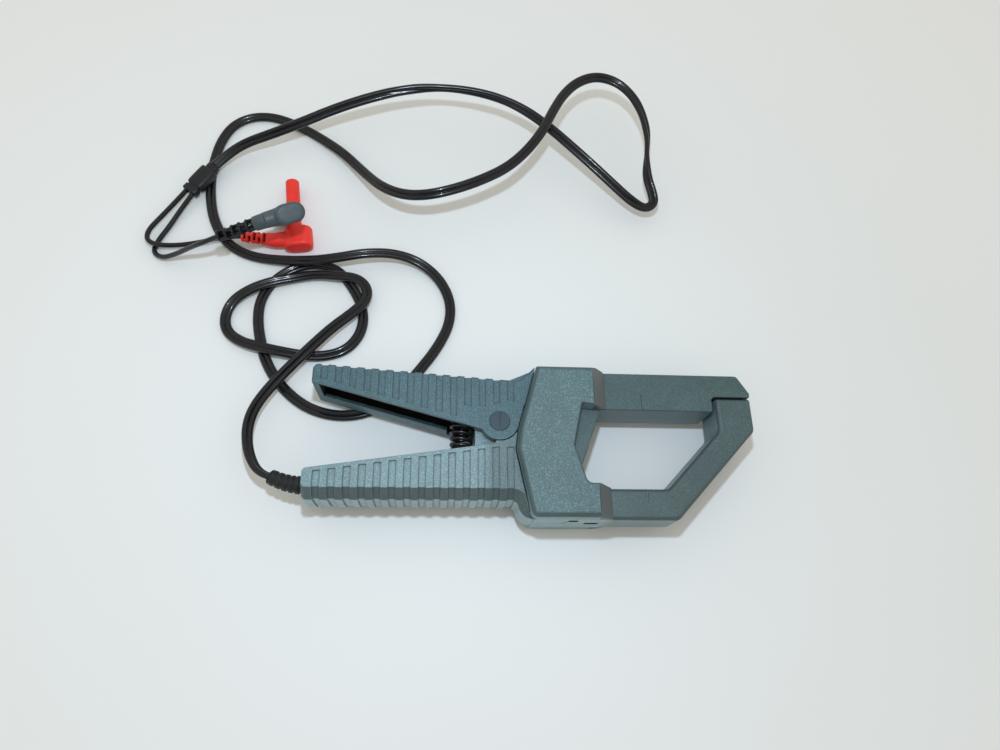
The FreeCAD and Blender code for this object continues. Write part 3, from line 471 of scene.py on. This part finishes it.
def laminated_material(name):
    """Stacked core steel: half-millimetre layers seen on the edge."""
    n = MaterialNodes(name)
    point = n.coords()
    layer = n.maths("FRACT", n.product(n.axes(point)[2], 2000.0))
    lines = n.span(n.maths("ABSOLUTE", n.maths("SUBTRACT", layer, 0.5)), 0.34, 0.48)
    colour = n.mix(lines, (128, 130, 133), (48, 48, 50))
    rough = n.span(n.noise(point, 300.0, 3.0, 0.6), 0.3, 0.7, 0.28, 0.5)
    return n.finish(colour=colour, rough=rough, normal=n.bump(lines, 0.3, 0.0001), metal=0.9)


def winding_material(name):
    """Enamelled wire wound side by side along Y, with painted shade darkening each turn toward the creases
    between turns.
    """
    n = MaterialNodes(name)
    turn = n.maths("FRACT", n.product(n.axes(n.coords())[1], 4200.0))
    groove = n.maths("ABSOLUTE", n.maths("SUBTRACT", turn, 0.5))
    # Painted shade: each turn is darker toward its edges, where it meets the next.
    colour = n.mix(n.span(groove, 0.3, 0.5), (184, 104, 52), (84, 40, 20))
    normal = n.bump(n.span(groove, 0.1, 0.5, 1.0, 0.0), 0.5, 0.0002)
    return n.finish(colour=colour, rough=0.35, normal=normal, metal=0.7)


def board_material(name):
    """Green solder mask with paler tracks under it."""
    n = MaterialNodes(name)
    tracks = n.span(n.voronoi(n.coords(), 260.0, "DISTANCE_TO_EDGE"), 0.03, 0.06)
    colour = n.mix(tracks, (74, 128, 74), (30, 82, 46))
    return n.finish(colour=colour, rough=0.3, normal=n.bump(tracks, 0.15, 0.0001), specular=0.5)


# ------------------------------------------------------------------ mesh helpers
BOX_FACES = [(0, 1, 3, 2), (4, 6, 7, 5), (0, 4, 5, 1), (2, 3, 7, 6), (0, 2, 6, 4), (1, 5, 7, 3)]


def new_object(name, vertices, faces, material):
    """Smooth-shaded mesh object in the scene."""
    mesh = bpy.data.meshes.new(name)
    mesh.from_pydata([tuple(v) for v in vertices], [], faces)
    mesh.validate()
    obj = bpy.data.objects.new(name, mesh)
    bpy.context.scene.collection.objects.link(obj)
    mesh.materials.append(material)
    mesh.polygons.foreach_set("use_smooth", [True] * len(mesh.polygons))
    return obj


def declare(piece, node=None):
    """Let a piece ride on the fixed arm's body, and hide the CAD node that it replaces."""
    if node:
        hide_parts(node)
    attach(piece, "body")


def circle(count, shift=0.0):
    """Cosine and sine of evenly spaced angles. The first is shift steps from zero."""
    angles = [2 * math.pi * (j + shift) / count for j in range(count)]
    return [(math.cos(angle), math.sin(angle)) for angle in angles]


def frame_on(direction):
    """Unit vectors along, across and above a direction."""
    along = direction.normalized()
    hint = Vector((0, 0, 1))
    if abs(along.dot(hint)) > 0.98:
        hint = Vector((0, 1, 0))
    across = hint.cross(along).normalized()
    return along, across, along.cross(across)


def tube_faces(rings, count):
    """Quads between consecutive rings of count points, and a cap on each end."""
    faces = []
    for a in range(0, (rings - 1) * count, count):
        b = a + count
        for j in range(count):
            k = (j + 1) % count
            faces.append((a + j, a + k, b + k, b + j))
    last = (rings - 1) * count
    faces.append(tuple(range(count - 1, -1, -1)))
    faces.append(tuple(range(last, last + count)))
    return faces


def lathe(profile, origin, direction, segments):
    """Vertices and faces of a profile of (distance along, radius) turned about an axis."""
    along, across, above = frame_on(direction)
    vertices = []
    for distance, radius in profile:
        for c, s in circle(segments):
            vertices.append(origin + along * distance + (across * c + above * s) * radius)
    return vertices, tube_faces(len(profile), segments)


def joined(parts):
    """Several (vertices, faces) as one."""
    vertices = []
    faces = []
    for some_vertices, some_faces in parts:
        base = len(vertices)
        vertices.extend(some_vertices)
        faces.extend(tuple(i + base for i in face) for face in some_faces)
    return vertices, faces


def add_bevel(obj, width, angle=35.0):
    """Round the edges that are sharper than the angle."""
    modifier = obj.modifiers.new("edges", "BEVEL")
    modifier.width = width
    modifier.segments = 2
    modifier.limit_method = "ANGLE"
    modifier.angle_limit = math.radians(angle)
    modifier.harden_normals = False


def moulded(obj, voxel, rounds):
    """Merge overlapping solids into one skin with soft fillets where they meet."""
    remesh = obj.modifiers.new("skin", "REMESH")
    remesh.mode = "VOXEL"
    remesh.voxel_size = voxel
    smooth = obj.modifiers.new("soften", "SMOOTH")
    smooth.factor = 0.5
    smooth.iterations = rounds
    evaluated = obj.evaluated_get(bpy.context.evaluated_depsgraph_get())
    mesh = bpy.data.meshes.new_from_object(evaluated)
    obj.modifiers.clear()
    obj.data = mesh
    mesh.polygons.foreach_set("use_smooth", [True] * len(mesh.polygons))


# ------------------------------------------------------------------ cord routes
ROUTE_SPACING = 0.0016
# Each route's points are in millimetres, from the probe outwards.
CORD_ROUTE = [
    (-153.5, -18.6, 20.0), (-160.5, -16.8, 19.5), (-168.0, -5.0, 18.0),
    (-171.5, 10.0, 16.0), (-170.0, 24.0, 14.0), (-163.0, 38.0, 12.0),
    (-153.0, 52.0, 10.8), (-141.0, 67.0, 10.0), (-128.5, 82.0, 9.0),
    (-116.0, 94.0, 7.6), (-108.0, 104.0, 6.2), (-107.5, 114.0, 5.8),
    (-115.0, 121.5, 5.8), (-128.0, 122.5, 5.8), (-143.0, 124.0, 4.0),
    (-157.0, 121.0, 3.6), (-171.0, 116.5, 5.8), (-184.0, 110.5, 5.8),
    (-195.0, 102.5, 3.6), (-199.0, 91.5, 1.8), (-196.5, 81.0, 1.8),
    (-187.0, 73.5, 3.4), (-174.0, 69.0, 5.8), (-160.0, 66.0, 5.8),
    (-146.0, 64.5, 3.4), (-132.0, 65.0, 1.8), (-119.5, 69.5, 1.8),
    (-111.5, 79.5, 1.8), (-109.0, 92.0, 1.8), (-112.0, 105.0, 1.8),
    (-119.0, 117.5, 1.8), (-128.0, 128.5, 1.8), (-140.0, 133.5, 1.8),
    (-153.5, 131.5, 1.8), (-165.0, 125.0, 1.8), (-173.5, 115.0, 1.8),
    (-178.0, 102.5, 1.8), (-177.5, 88.5, 1.8), (-174.0, 74.0, 1.8),
    (-169.0, 60.0, 1.8), (-161.0, 47.5, 1.8), (-150.5, 36.5, 1.8),
    (-138.0, 28.5, 1.8), (-123.0, 24.5, 1.8), (-108.0, 25.5, 1.8),
    (-94.0, 31.5, 1.8), (-82.0, 42.5, 1.8), (-71.0, 57.0, 1.8),
    (-60.0, 73.0, 1.8), (-52.0, 91.0, 1.8), (-52.0, 109.0, 1.8),
    (-60.5, 125.5, 3.0), (-74.8, 136.0, 6.0), (-91.3, 139.0, 10.0),
    (-109.6, 137.0, 12.5), (-127.2, 133.0, 12.0), (-145.4, 131.5, 9.0),
    (-165.3, 133.5, 4.5), (-185.0, 136.5, 1.8), (-200.0, 143.0, 1.8),
    (-210.0, 154.0, 1.8), (-217.0, 168.0, 1.8), (-221.0, 184.0, 1.8),
    (-223.0, 201.0, 1.8), (-222.5, 218.0, 1.8), (-220.0, 234.0, 1.8),
    (-213.5, 248.0, 1.8), (-202.0, 256.0, 1.8), (-188.0, 257.5, 1.8),
    (-174.0, 253.5, 1.8), (-159.5, 246.0, 1.8), (-145.8, 236.5, 3.0),
    (-130.2, 222.0, 7.0), (-115.3, 202.0, 14.0), (-101.5, 183.5, 23.0),
    (-85.7, 171.5, 31.0), (-69.0, 168.5, 36.0), (-50.5, 173.0, 38.0),
    (-33.0, 180.5, 39.0), (-15.5, 191.5, 39.0), (-1.3, 207.0, 39.0),
    (10.0, 224.5, 39.5), (17.6, 242.0, 40.0), (26.0, 258.0, 40.0),
    (37.2, 270.5, 40.0), (51.2, 276.5, 40.0), (66.0, 273.5, 39.0),
    (77.5, 263.5, 37.0), (85.0, 249.0, 34.0), (88.4, 232.5, 30.0),
    (87.0, 216.5, 26.0), (87.3, 202.5, 22.0), (91.5, 192.2, 18.0),
    (93.0, 185.0, 15.0), (86.2, 180.7, 14.0), (75.0, 185.5, 17.0),
    (61.0, 197.0, 21.0), (46.2, 209.5, 25.0), (31.2, 222.0, 28.5),
    (16.2, 235.0, 31.0), (0.0, 247.0, 33.0), (-18.7, 255.5, 35.0),
    (-42.0, 260.5, 36.0), (-67.2, 261.5, 36.0), (-91.5, 257.5, 35.0),
    (-115.2, 251.0, 32.0), (-137.6, 243.5, 28.0), (-158.5, 234.5, 24.0),
    (-180.2, 227.0, 19.0), (-197.4, 222.5, 14.5), (-209.7, 215.3, 11.0),
    (-219.5, 205.5, 8.2),
]
RED_LEAD_ROUTE = [
    (-236.2, 186.0, 6.0), (-242.5, 175.5, 5.6), (-250.0, 163.0, 5.6),
    (-256.5, 152.0, 5.8), (-255.5, 144.0, 5.8), (-246.5, 141.0, 5.8),
    (-233.5, 142.5, 4.6), (-219.5, 145.5, 5.0), (-206.5, 149.5, 6.4),
    (-193.8, 150.1, 6.6),
]
BLACK_LEAD_ROUTE = [
    (-231.8, 183.0, 6.0), (-238.0, 171.0, 4.6), (-244.5, 158.0, 2.4),
    (-250.5, 146.5, 1.8), (-252.0, 138.0, 1.8), (-245.0, 133.0, 3.0),
    (-233.5, 132.5, 9.5), (-222.0, 131.5, 19.5), (-211.0, 130.0, 28.5),
    (-199.5, 131.8, 34.0),
]
# How the flat cord is turned about its own line: distance along in millimetres and angle in degrees.
CORD_TURNS = [
    (0, 70), (25, 50), (45, 35), (90, 25), (150, 12), (260, 0), (420, 2), (640, 0), (1010, 0), (1060, 6),
    (1092, 24), (1117, 34), (1190, 36), (1260, 34), (1300, 30), (1349, 22), (1380, -5), (1400, -30),
    (1422, -75), (1444, -140), (1464, -172), (1484, -212), (1540, -221), (1565, -228), (1600, -265),
    (1640, -285), (1668, -252), (1695, -225), (1750, -214), (1817, -186), (2000, -180),
]


def route_curve(name, route, radius=0.0):
    """NURBS curve with the route's points as its control points."""
    data = bpy.data.curves.new(name, "CURVE")
    data.dimensions = "3D"
    data.resolution_u = 10
    spline = data.splines.new("NURBS")
    spline.points.add(len(route) - 1)
    for point, place in zip(spline.points, route):
        point.co = (place[0] * MM, place[1] * MM, place[2] * MM, 1.0)
    spline.use_endpoint_u = True
    spline.order_u = 3
    data.bevel_depth = radius
    data.bevel_resolution = 6
    return data


def spline_points(route):
    """Evenly spaced points read from the route's own spline."""
    data = route_curve("route_reader", route)
    holder = bpy.data.objects.new("route_reader", data)
    bpy.context.scene.collection.objects.link(holder)
    bpy.context.view_layer.update()
    mesh = bpy.data.meshes.new_from_object(holder.evaluated_get(bpy.context.evaluated_depsgraph_get()))
    raw = [v.co.copy() for v in mesh.vertices]
    bpy.data.objects.remove(holder)
    bpy.data.curves.remove(data)
    bpy.data.meshes.remove(mesh)
    return even(raw, ROUTE_SPACING)


def path_length(points):
    """Length of the chain of points."""
    return sum((b - a).length for a, b in zip(points, points[1:]))


def even(raw, spacing):
    """Points about one spacing apart along a chain of points, with the same ends."""
    total = path_length(raw)
    count = max(2, int(total / spacing))
    step = total / count
    points = [raw[0]]
    gone = 0.0
    wanted = step
    for a, b in zip(raw, raw[1:]):
        run = (b - a).length
        while run > 0 and gone + run >= wanted - 1e-12 and len(points) < count:
            points.append(a.lerp(b, (wanted - gone) / run))
            wanted += step
        gone += run
    points.append(raw[-1])
    return points


def tangents(points):
    """Direction of the chain at each of its points."""
    before = [points[0]] + points[:-1]
    after = points[1:] + [points[-1]]
    return [(b - a).normalized() for a, b in zip(before, after)]


def turn_at(distance):
    """How far the flat cord is turned about its line at a distance in millimetres, in radians."""
    for (a, low), (b, high) in zip(CORD_TURNS, CORD_TURNS[1:]):
        if distance <= b:
            t = (distance - a) / (b - a)
            t = t * t * (3 - 2 * t)
            return math.radians(low + (high - low) * t)
    return math.radians(CORD_TURNS[-1][1])


# ------------------------------------------------------------------ cord pieces
CORE_RADIUS = 0.0018
CORE_OFFSET = 0.0017
WEB_HALF_WIDTH = 0.00008
LEAD_RADIUS = 0.00165
RELIEF_PATH = [(-132.4, -24.0, 22.3), (-142.5, -24.2, 21.6), (-153.9, -18.4, 20.0)]
RELIEF_STEPS = 64
FLANGE_AT = (-132.5, -24.0, 22.5)
FLANGE_PROFILE = [(0.0, 0.0049), (0.0024, 0.0049), (0.0024, 0.0064), (0.0044, 0.0064)]
SPLITTER_HEAD = (-219.5, 205.5, 8.2)
SPLITTER_TAIL = (-234.0, 184.5, 6.0)
# Distance from the head, half width and half height, in millimetres, up to the collar at the tail.
SPLITTER_STATIONS = [
    (-0.2, 3.7, 2.2), (0.1, 4.2, 2.6), (3.2, 4.3, 2.7), (3.4, 4.0, 2.5), (4.3, 4.0, 2.5), (4.5, 5.6, 3.6),
    (5.1, 6.0, 3.9), (10.0, 6.1, 4.0), (17.0, 6.1, 4.0), (19.4, 5.9, 3.8), (20.0, 5.5, 3.5), (20.2, 4.6, 3.0),
    (21.3, 4.6, 3.0), (21.5, 5.7, 3.4),
]
SPLITTER_SQUARENESS = 0.55


def twin_section(count=14):
    """Outline of the twin cord's section: two round cores joined by a narrow web."""
    lap = math.acos(min(1.0, (CORE_OFFSET - WEB_HALF_WIDTH) / CORE_RADIUS))
    points = []
    for j in range(count):
        angle = -math.pi + lap + (2 * math.pi - 2 * lap) * j / (count - 1)
        points.append((CORE_OFFSET + CORE_RADIUS * math.cos(angle), CORE_RADIUS * math.sin(angle)))
    return points + [(-u, -v) for u, v in points]


def build_cord(jacket):
    """Flat twin cord along its whole route, turned about its own line. Gives its points too."""
    points = spline_points(CORD_ROUTE)
    section = twin_section()
    vertices = []
    distance = 0.0
    for last, point, direction in zip([points[0]] + points, points, tangents(points)):
        distance += (point - last).length
        _, across, above = frame_on(direction)
        angle = turn_at(distance / MM)
        side = across * math.cos(angle) + above * math.sin(angle)
        top = above * math.cos(angle) - across * math.sin(angle)
        for u, v in section:
            vertices.append(point + side * u + top * v)
    cord = new_object("twin_cord", vertices, tube_faces(len(points), len(section)), jacket)
    declare(cord, "cord_twin")
    return cord, points


def build_lead(name, node, route, jacket):
    """Round single lead as a curve with a thickness."""
    data = route_curve(name, route, LEAD_RADIUS)
    data.use_fill_caps = True
    lead = bpy.data.objects.new(name, data)
    bpy.context.scene.collection.objects.link(lead)
    data.materials.append(jacket)
    declare(lead, node)
    return lead


def relief_radius(t):
    """Radius in millimetres at share t of the boot: tapered and ribbed, with a rounded tip."""
    radius = 5.0 - 0.9 * t
    phase = (t * 6.0) % 1.0
    if 0.10 < t < 0.96 and phase > 0.62:
        radius -= 0.62
    if t > 0.97:
        radius -= 0.9 * (t - 0.97) / 0.03
    return radius


def build_strain_relief(rubber):
    """Ribbed boot that bends from the handle's end to the cord."""
    root, middle, tip = (Vector(place) * MM for place in RELIEF_PATH)
    shares = [i / RELIEF_STEPS for i in range(RELIEF_STEPS + 1)]
    points = [root * (1 - t) ** 2 + middle * 2 * t * (1 - t) + tip * t * t for t in shares]
    segments = 28
    vertices = []
    for t, point, direction in zip(shares, points, tangents(points)):
        radius = relief_radius(t)
        _, across, above = frame_on(direction)
        for c, s in circle(segments):
            swell = 1.0 + 0.10 * abs(c)
            vertices.append(point + (across * c * swell + above * s) * radius * MM)
    boot = (vertices, tube_faces(len(points), segments))
    flange = lathe(FLANGE_PROFILE, Vector(FLANGE_AT) * MM, Vector((1, 0, 0)), segments)
    obj = new_object("cord_boot", *joined([boot, flange]), rubber)
    add_bevel(obj, 0.00018)
    declare(obj, "strain_relief")
    return obj


def build_splitter(rubber):
    """Moulded block where the cord parts, with a stepped collar at each end."""
    head = Vector(SPLITTER_HEAD) * MM
    axis = Vector(SPLITTER_TAIL) * MM - head
    end = axis.length / MM
    along, across, above = frame_on(axis)
    stations = SPLITTER_STATIONS + [(end - 0.4, 5.7, 3.4), (end, 5.2, 3.0)]
    segments = 32
    vertices = []
    for distance, half_width, half_height in stations:
        for c, s in circle(segments):
            u = math.copysign(abs(c) ** SPLITTER_SQUARENESS, c) * half_width
            v = math.copysign(abs(s) ** SPLITTER_SQUARENESS, s) * half_height
            vertices.append(head + along * distance * MM + across * u * MM + above * v * MM)
    obj = new_object("cord_parting_block", vertices, tube_faces(len(stations), segments), rubber)
    add_bevel(obj, 0.0003, 25.0)
    declare(obj, "cord_splitter")
    return obj


# ------------------------------------------------------------------ plugs and boots
# Where a plug bends, the way from its cable to its back, the way down its shroud, and where its boot begins.
# Both places are in millimetres.
Plug = namedtuple("Plug", "at cable shroud boot_start")
RED_PLUG = Plug((-158.5, 149.5, 6.8), (0.99, 0.14, 0.0), (-0.14, 0.99, 0.0), (-193.8, 150.1, 6.6))
BLACK_PLUG = Plug((-157.9, 145.8, 40.5), (0.893, 0.441, -0.09), (-0.32, 0.50, -0.81),
                  (-199.5, 131.8, 34.0))
BARREL_LENGTH = 13.0
# The plug's block, as height across the bend and how far its outline is drawn in, in millimetres.
BLOCK_RINGS = [
    (-7.4, 1.1), (-6.8, 0.3), (-5.9, 0.0), (5.4, 0.0), (6.8, 0.3), (7.6, 0.9), (8.0, 1.9), (8.1, 4.0),
]
BLOCK_FROM = -7.2
BLOCK_TO = 11.8
BLOCK_HALF_WIDTH = 6.5
# Profiles are (distance along, radius) in metres.
BARREL_PROFILE = [(-0.0140, 0.0046), (-0.0136, 0.0050), (-0.0070, 0.0054), (0.0, 0.0060)]
STEM_PROFILE = [(0.0, 0.0050), (0.010, 0.0052), (0.012, 0.0048), (0.020, 0.0047)]
SHROUD_PROFILE = [
    (0.0180, 0.0030), (0.0180, 0.00468), (0.0460, 0.00466), (0.0466, 0.00445), (0.0466, 0.0036),
    (0.0461, 0.0034), (0.0300, 0.0034), (0.0300, 0.0021),
]
PIN_PROFILE = [
    (0.0260, 0.00185), (0.0275, 0.0020), (0.0330, 0.0022), (0.0385, 0.0020), (0.0425, 0.00185),
    (0.0430, 0.0012),
]
BOOT_RINGS = 5
BOOT_RING_LENGTH = 0.00145
BOOT_ROOT_SHARE = 0.30
TIE_HALF_WIDTH = 0.0011


def oval_ring(low, high, radius, height):
    """Stadium outline in the plug's own millimetres, between two x, at one height."""
    ring = []
    for c, s in circle(40, 0.5):
        centre = high - radius if c > 0 else low + radius
        ring.append(Vector((centre + radius * c, radius * s, height)))
    return ring


def plug_block(at, x, y, z):
    """Oval block round the plug's bend, with rounded faces."""
    vertices = []
    for height, inset in BLOCK_RINGS:
        ring = oval_ring(BLOCK_FROM + inset, BLOCK_TO - inset, BLOCK_HALF_WIDTH - inset, height)
        vertices.extend(at + (x * p.x + y * p.y + z * p.z) * MM for p in ring)
    return vertices, tube_faces(len(BLOCK_RINGS), len(vertices) // len(BLOCK_RINGS))


def build_plug(name, nodes, plug, look, contact_metal):
    """Right-angle plug: an elbow, a hollow shroud and the sprung pin inside it.

    A look is a material and its slot.
    """
    plastic, slot = look
    at = Vector(plug.at) * MM
    x = Vector(plug.cable).normalized()
    y = (-Vector(plug.shroud)).cross(x).normalized()
    z = x.cross(y)
    barrel = lathe(BARREL_PROFILE, at, x, 36)
    stem = lathe(STEM_PROFILE, at, -z, 36)
    elbow = new_object(name + "_elbow", *joined([plug_block(at, x, y, z), barrel, stem]), plastic)
    moulded(elbow, 0.00042, 3)
    shroud = new_object(name + "_shroud", *lathe(SHROUD_PROFILE, at, -z, 48), plastic)
    add_bevel(shroud, 0.00012)
    pin = new_object(name + "_sprung_pin", *lathe(PIN_PROFILE, at, -z, 32), contact_metal)
    body_node, contact_node = nodes
    declare(elbow, body_node)
    declare(shroud)
    declare(pin, contact_node)
    return [elbow, shroud, pin]


def boot_tie(start, along, side, other, low, high, radius):
    """Small block on one side of the boot, from one ring to the next."""
    corners = []
    for a in (low, high):
        for b in (radius * 0.62, radius * 0.96):
            for c in (-TIE_HALF_WIDTH, TIE_HALF_WIDTH):
                corners.append(start + along * a + side * b + other * c)
    return corners, BOX_FACES


def build_boot(name, node, plug, shell_look, root_look, jacket):
    """Flexible boot: rings joined by pairs of ties that alternate, and a solid root at the plug."""
    start = Vector(plug.boot_start) * MM
    axis = Vector(plug.at) * MM - Vector(plug.cable).normalized() * BARREL_LENGTH * MM - start
    along, across, above = frame_on(axis)
    length = axis.length
    pitch = (length * (1 - BOOT_ROOT_SHARE) - BOOT_RING_LENGTH) / (BOOT_RINGS - 0.75)
    parts = []
    for i in range(BOOT_RINGS):
        radius = 0.0037 + 0.0008 * i / BOOT_RINGS
        low = i * pitch
        end = low + BOOT_RING_LENGTH
        rim = radius - 0.0002
        ring = [(low, rim), (low + 0.0003, radius), (end - 0.0003, radius), (end, rim)]
        parts.append(lathe(ring, start, axis, 28))
        side, other = (above, across) if i % 2 else (across, above)
        tie_end = min(end + pitch, length)
        for way in (-side, side):
            parts.append(boot_tie(start, along, way, other, low + 0.0002, tie_end, radius))
    first = BOOT_RINGS * pitch
    root = [(first, 0.0043), (first + 0.0004, 0.0046), (length + 0.0004, 0.0049),
            (length + 0.0006, 0.0046)]
    neck = new_object(name + "_root", *lathe(root, start, axis, 32), root_look[0])
    add_bevel(neck, 0.0002)
    shell = new_object(name, *joined(parts), shell_look[0])
    add_bevel(shell, 0.00018)
    inner = [(-0.0004, 0.0016), (length - 0.001, 0.0017)]
    core = new_object(name + "_lead", *lathe(inner, start, axis, 24), jacket)
    declare(shell, node)
    declare(neck)
    declare(core)
    return [shell, neck, core]


# ------------------------------------------------------------------ spring
SPRING_X = -44.3 * MM
SPRING_Z = 22.5 * MM
SPRING_SEAT_Y = -4.0 * MM
SPRING_CUP_Y = 20.0 * MM
WIRE_RADIUS = 1.05 * MM
COIL_RADIUS = 5.95 * MM
COIL_TURNS = 6.6
CLOSED_SHARE = 0.10
CLOSED_SLOPE = 0.35


def coil_rise(t):
    """Share of the spring's height at share t of its wire: both end turns lie nearly flat."""
    if t < CLOSED_SHARE:
        return CLOSED_SLOPE * t * t / CLOSED_SHARE
    if t > 1 - CLOSED_SHARE:
        return 1.0 - CLOSED_SLOPE * (1 - t) ** 2 / CLOSED_SHARE
    edge = CLOSED_SLOPE * CLOSED_SHARE
    return edge + (1 - 2 * edge) * (t - CLOSED_SHARE) / (1 - 2 * CLOSED_SHARE)


def build_spring(metal):
    """Coil of round wire with closed ends, between the seat and the cup."""
    count = 420
    height = SPRING_CUP_Y - SPRING_SEAT_Y - 2 * WIRE_RADIUS
    outward = []
    points = []
    for i in range(count + 1):
        angle = 2 * math.pi * COIL_TURNS * i / count + 0.6
        y = SPRING_SEAT_Y + WIRE_RADIUS + height * coil_rise(i / count)
        outward.append(Vector((math.cos(angle), 0, math.sin(angle))))
        points.append(Vector((SPRING_X, y, SPRING_Z)) + outward[-1] * COIL_RADIUS)
    section = circle(14)
    vertices = []
    for point, away, direction in zip(points, outward, tangents(points)):
        other = direction.cross(away).normalized()
        for c, s in section:
            vertices.append(point + (away * c + other * s) * WIRE_RADIUS)
    spring = new_object("coil_spring", vertices, tube_faces(len(points), len(section)), metal)
    declare(spring, "handle_spring")
    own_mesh(spring)


# ------------------------------------------------------------------ carried-over parts
def paint(nodes, material):
    """Give the CAD parts of these nodes a material."""
    for node in nodes:
        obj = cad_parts[node]
        if not obj.material_slots:
            obj.data.materials.append(material)
        for slot in obj.material_slots:
            slot.material = material


def paint_casings():
    """Grained plastic on the shells of both arms and the head covers, with painted light and shade in its
    colour.
    """
    casing = casing_material("casing_grain_painted_light", [HANDLE, BLOCK, FIXED_JAW], slots=LATCH_SLOTS)
    lever_casing = casing_material("lever_grain_painted_light", [GRIP, MOVING_JAW], 0.8)
    cover_casing = casing_material("cover_grain_painted_light", [COVER], 1.15, smooth_from=COVER_RAMP_X)
    paint(["body_shell_top", "body_shell_bottom"], casing)
    paint(["lever_shell_top", "lever_shell_bottom"], lever_casing)
    paint(["head_cover_top", "head_cover_bottom"], cover_casing)


def paint_inner_parts(jacket):
    """Materials of the hinge, the channel, the screws and all that the casings hide."""
    steel = metal_material("plated_steel", (150, 153, 156), 0.32)
    brass = metal_material("turned_brass", (186, 152, 84), 0.3)
    cap = plain_plastic("hinge_cap_plastic", (52, 71, 80), 0.45, 500.0, 0.08, 4, 0.3)
    liner = plain_plastic("channel_black", (15, 17, 18), 0.4, 500.0, 0.1, 4)
    bobbin = plain_plastic("bobbin_black", (38, 40, 42), 0.5)
    paint(["pin_cap_top", "pin_cap_bottom"], cap)
    paint(["fixed_core", "moving_core"], laminated_material("core_laminations"))
    paint(["channel_liner", "spring_cup"], liner)
    paint(["head_screws", "handle_screws", "lever_screws", "board_screws", "hinge_pin"], steel)
    paint(["coil_bobbin", "board_parts", "cord_anchor"], bobbin)
    paint(["coil_winding"], winding_material("enamelled_copper"))
    paint(["circuit_board"], board_material("solder_mask"))
    paint(["inner_leads"], jacket)
    paint(["hinge_bush"], brass)


def build_cord_set(jacket):
    """Twin cord, splitter, both leads and both plugs with their boots."""
    rubber = plain_plastic("black_moulded_rubber", (24, 28, 31), 0.42, 700.0, 0.15, 5, 0.35)
    red = plain_plastic("red_plug_satin", (234, 50, 42), 0.44, 600.0, 0.10, 6, 0.4)
    black = plain_plastic("black_plug_satin", (64, 77, 82), 0.48, 600.0, 0.12, 6, 0.45)
    nickel = metal_material("nickel_contact", (196, 198, 200), 0.22)
    cord, points = build_cord(jacket)
    red_lead = build_lead("red_side_lead", "lead_red", RED_LEAD_ROUTE, jacket)
    black_lead = build_lead("black_side_lead", "lead_black", BLACK_LEAD_ROUTE, jacket)
    relief = build_strain_relief(rubber)
    splitter = build_splitter(rubber)
    red_look = (red, "red_plug")
    black_look = (black, "black_plug")
    red_nodes = ["red_plug_body", "red_contact"]
    black_nodes = ["black_plug_body", "black_contact"]
    red_plug = build_plug("red_test_plug", red_nodes, RED_PLUG, red_look, nickel)
    black_plug = build_plug("black_test_plug", black_nodes, BLACK_PLUG, black_look, nickel)
    red_boot = build_boot("red_plug_boot", "red_boot", RED_PLUG, red_look, red_look, jacket)
    black_boot = build_boot("black_plug_boot", "black_boot", BLACK_PLUG, (rubber, "black_rubber"), black_look,
                            jacket)
    for lead, route, pieces in ((red_lead, RED_LEAD_ROUTE, red_plug + red_boot),
                                (black_lead, BLACK_LEAD_ROUTE, black_plug + black_boot)):
        path_length(spline_points(route))


def main():
    """Camera, cords, spring, the CAD parts' materials, and the stage."""
    set_camera()
    jacket = jacket_material("cord_jacket_gloss")
    build_cord_set(jacket)
    build_spring(plain_plastic("blackened_wire", (17, 18, 19), 0.28, 400.0, 0.1, 4, 0.7))
    paint_casings()
    paint_inner_parts(jacket)
    set_stage()


main()
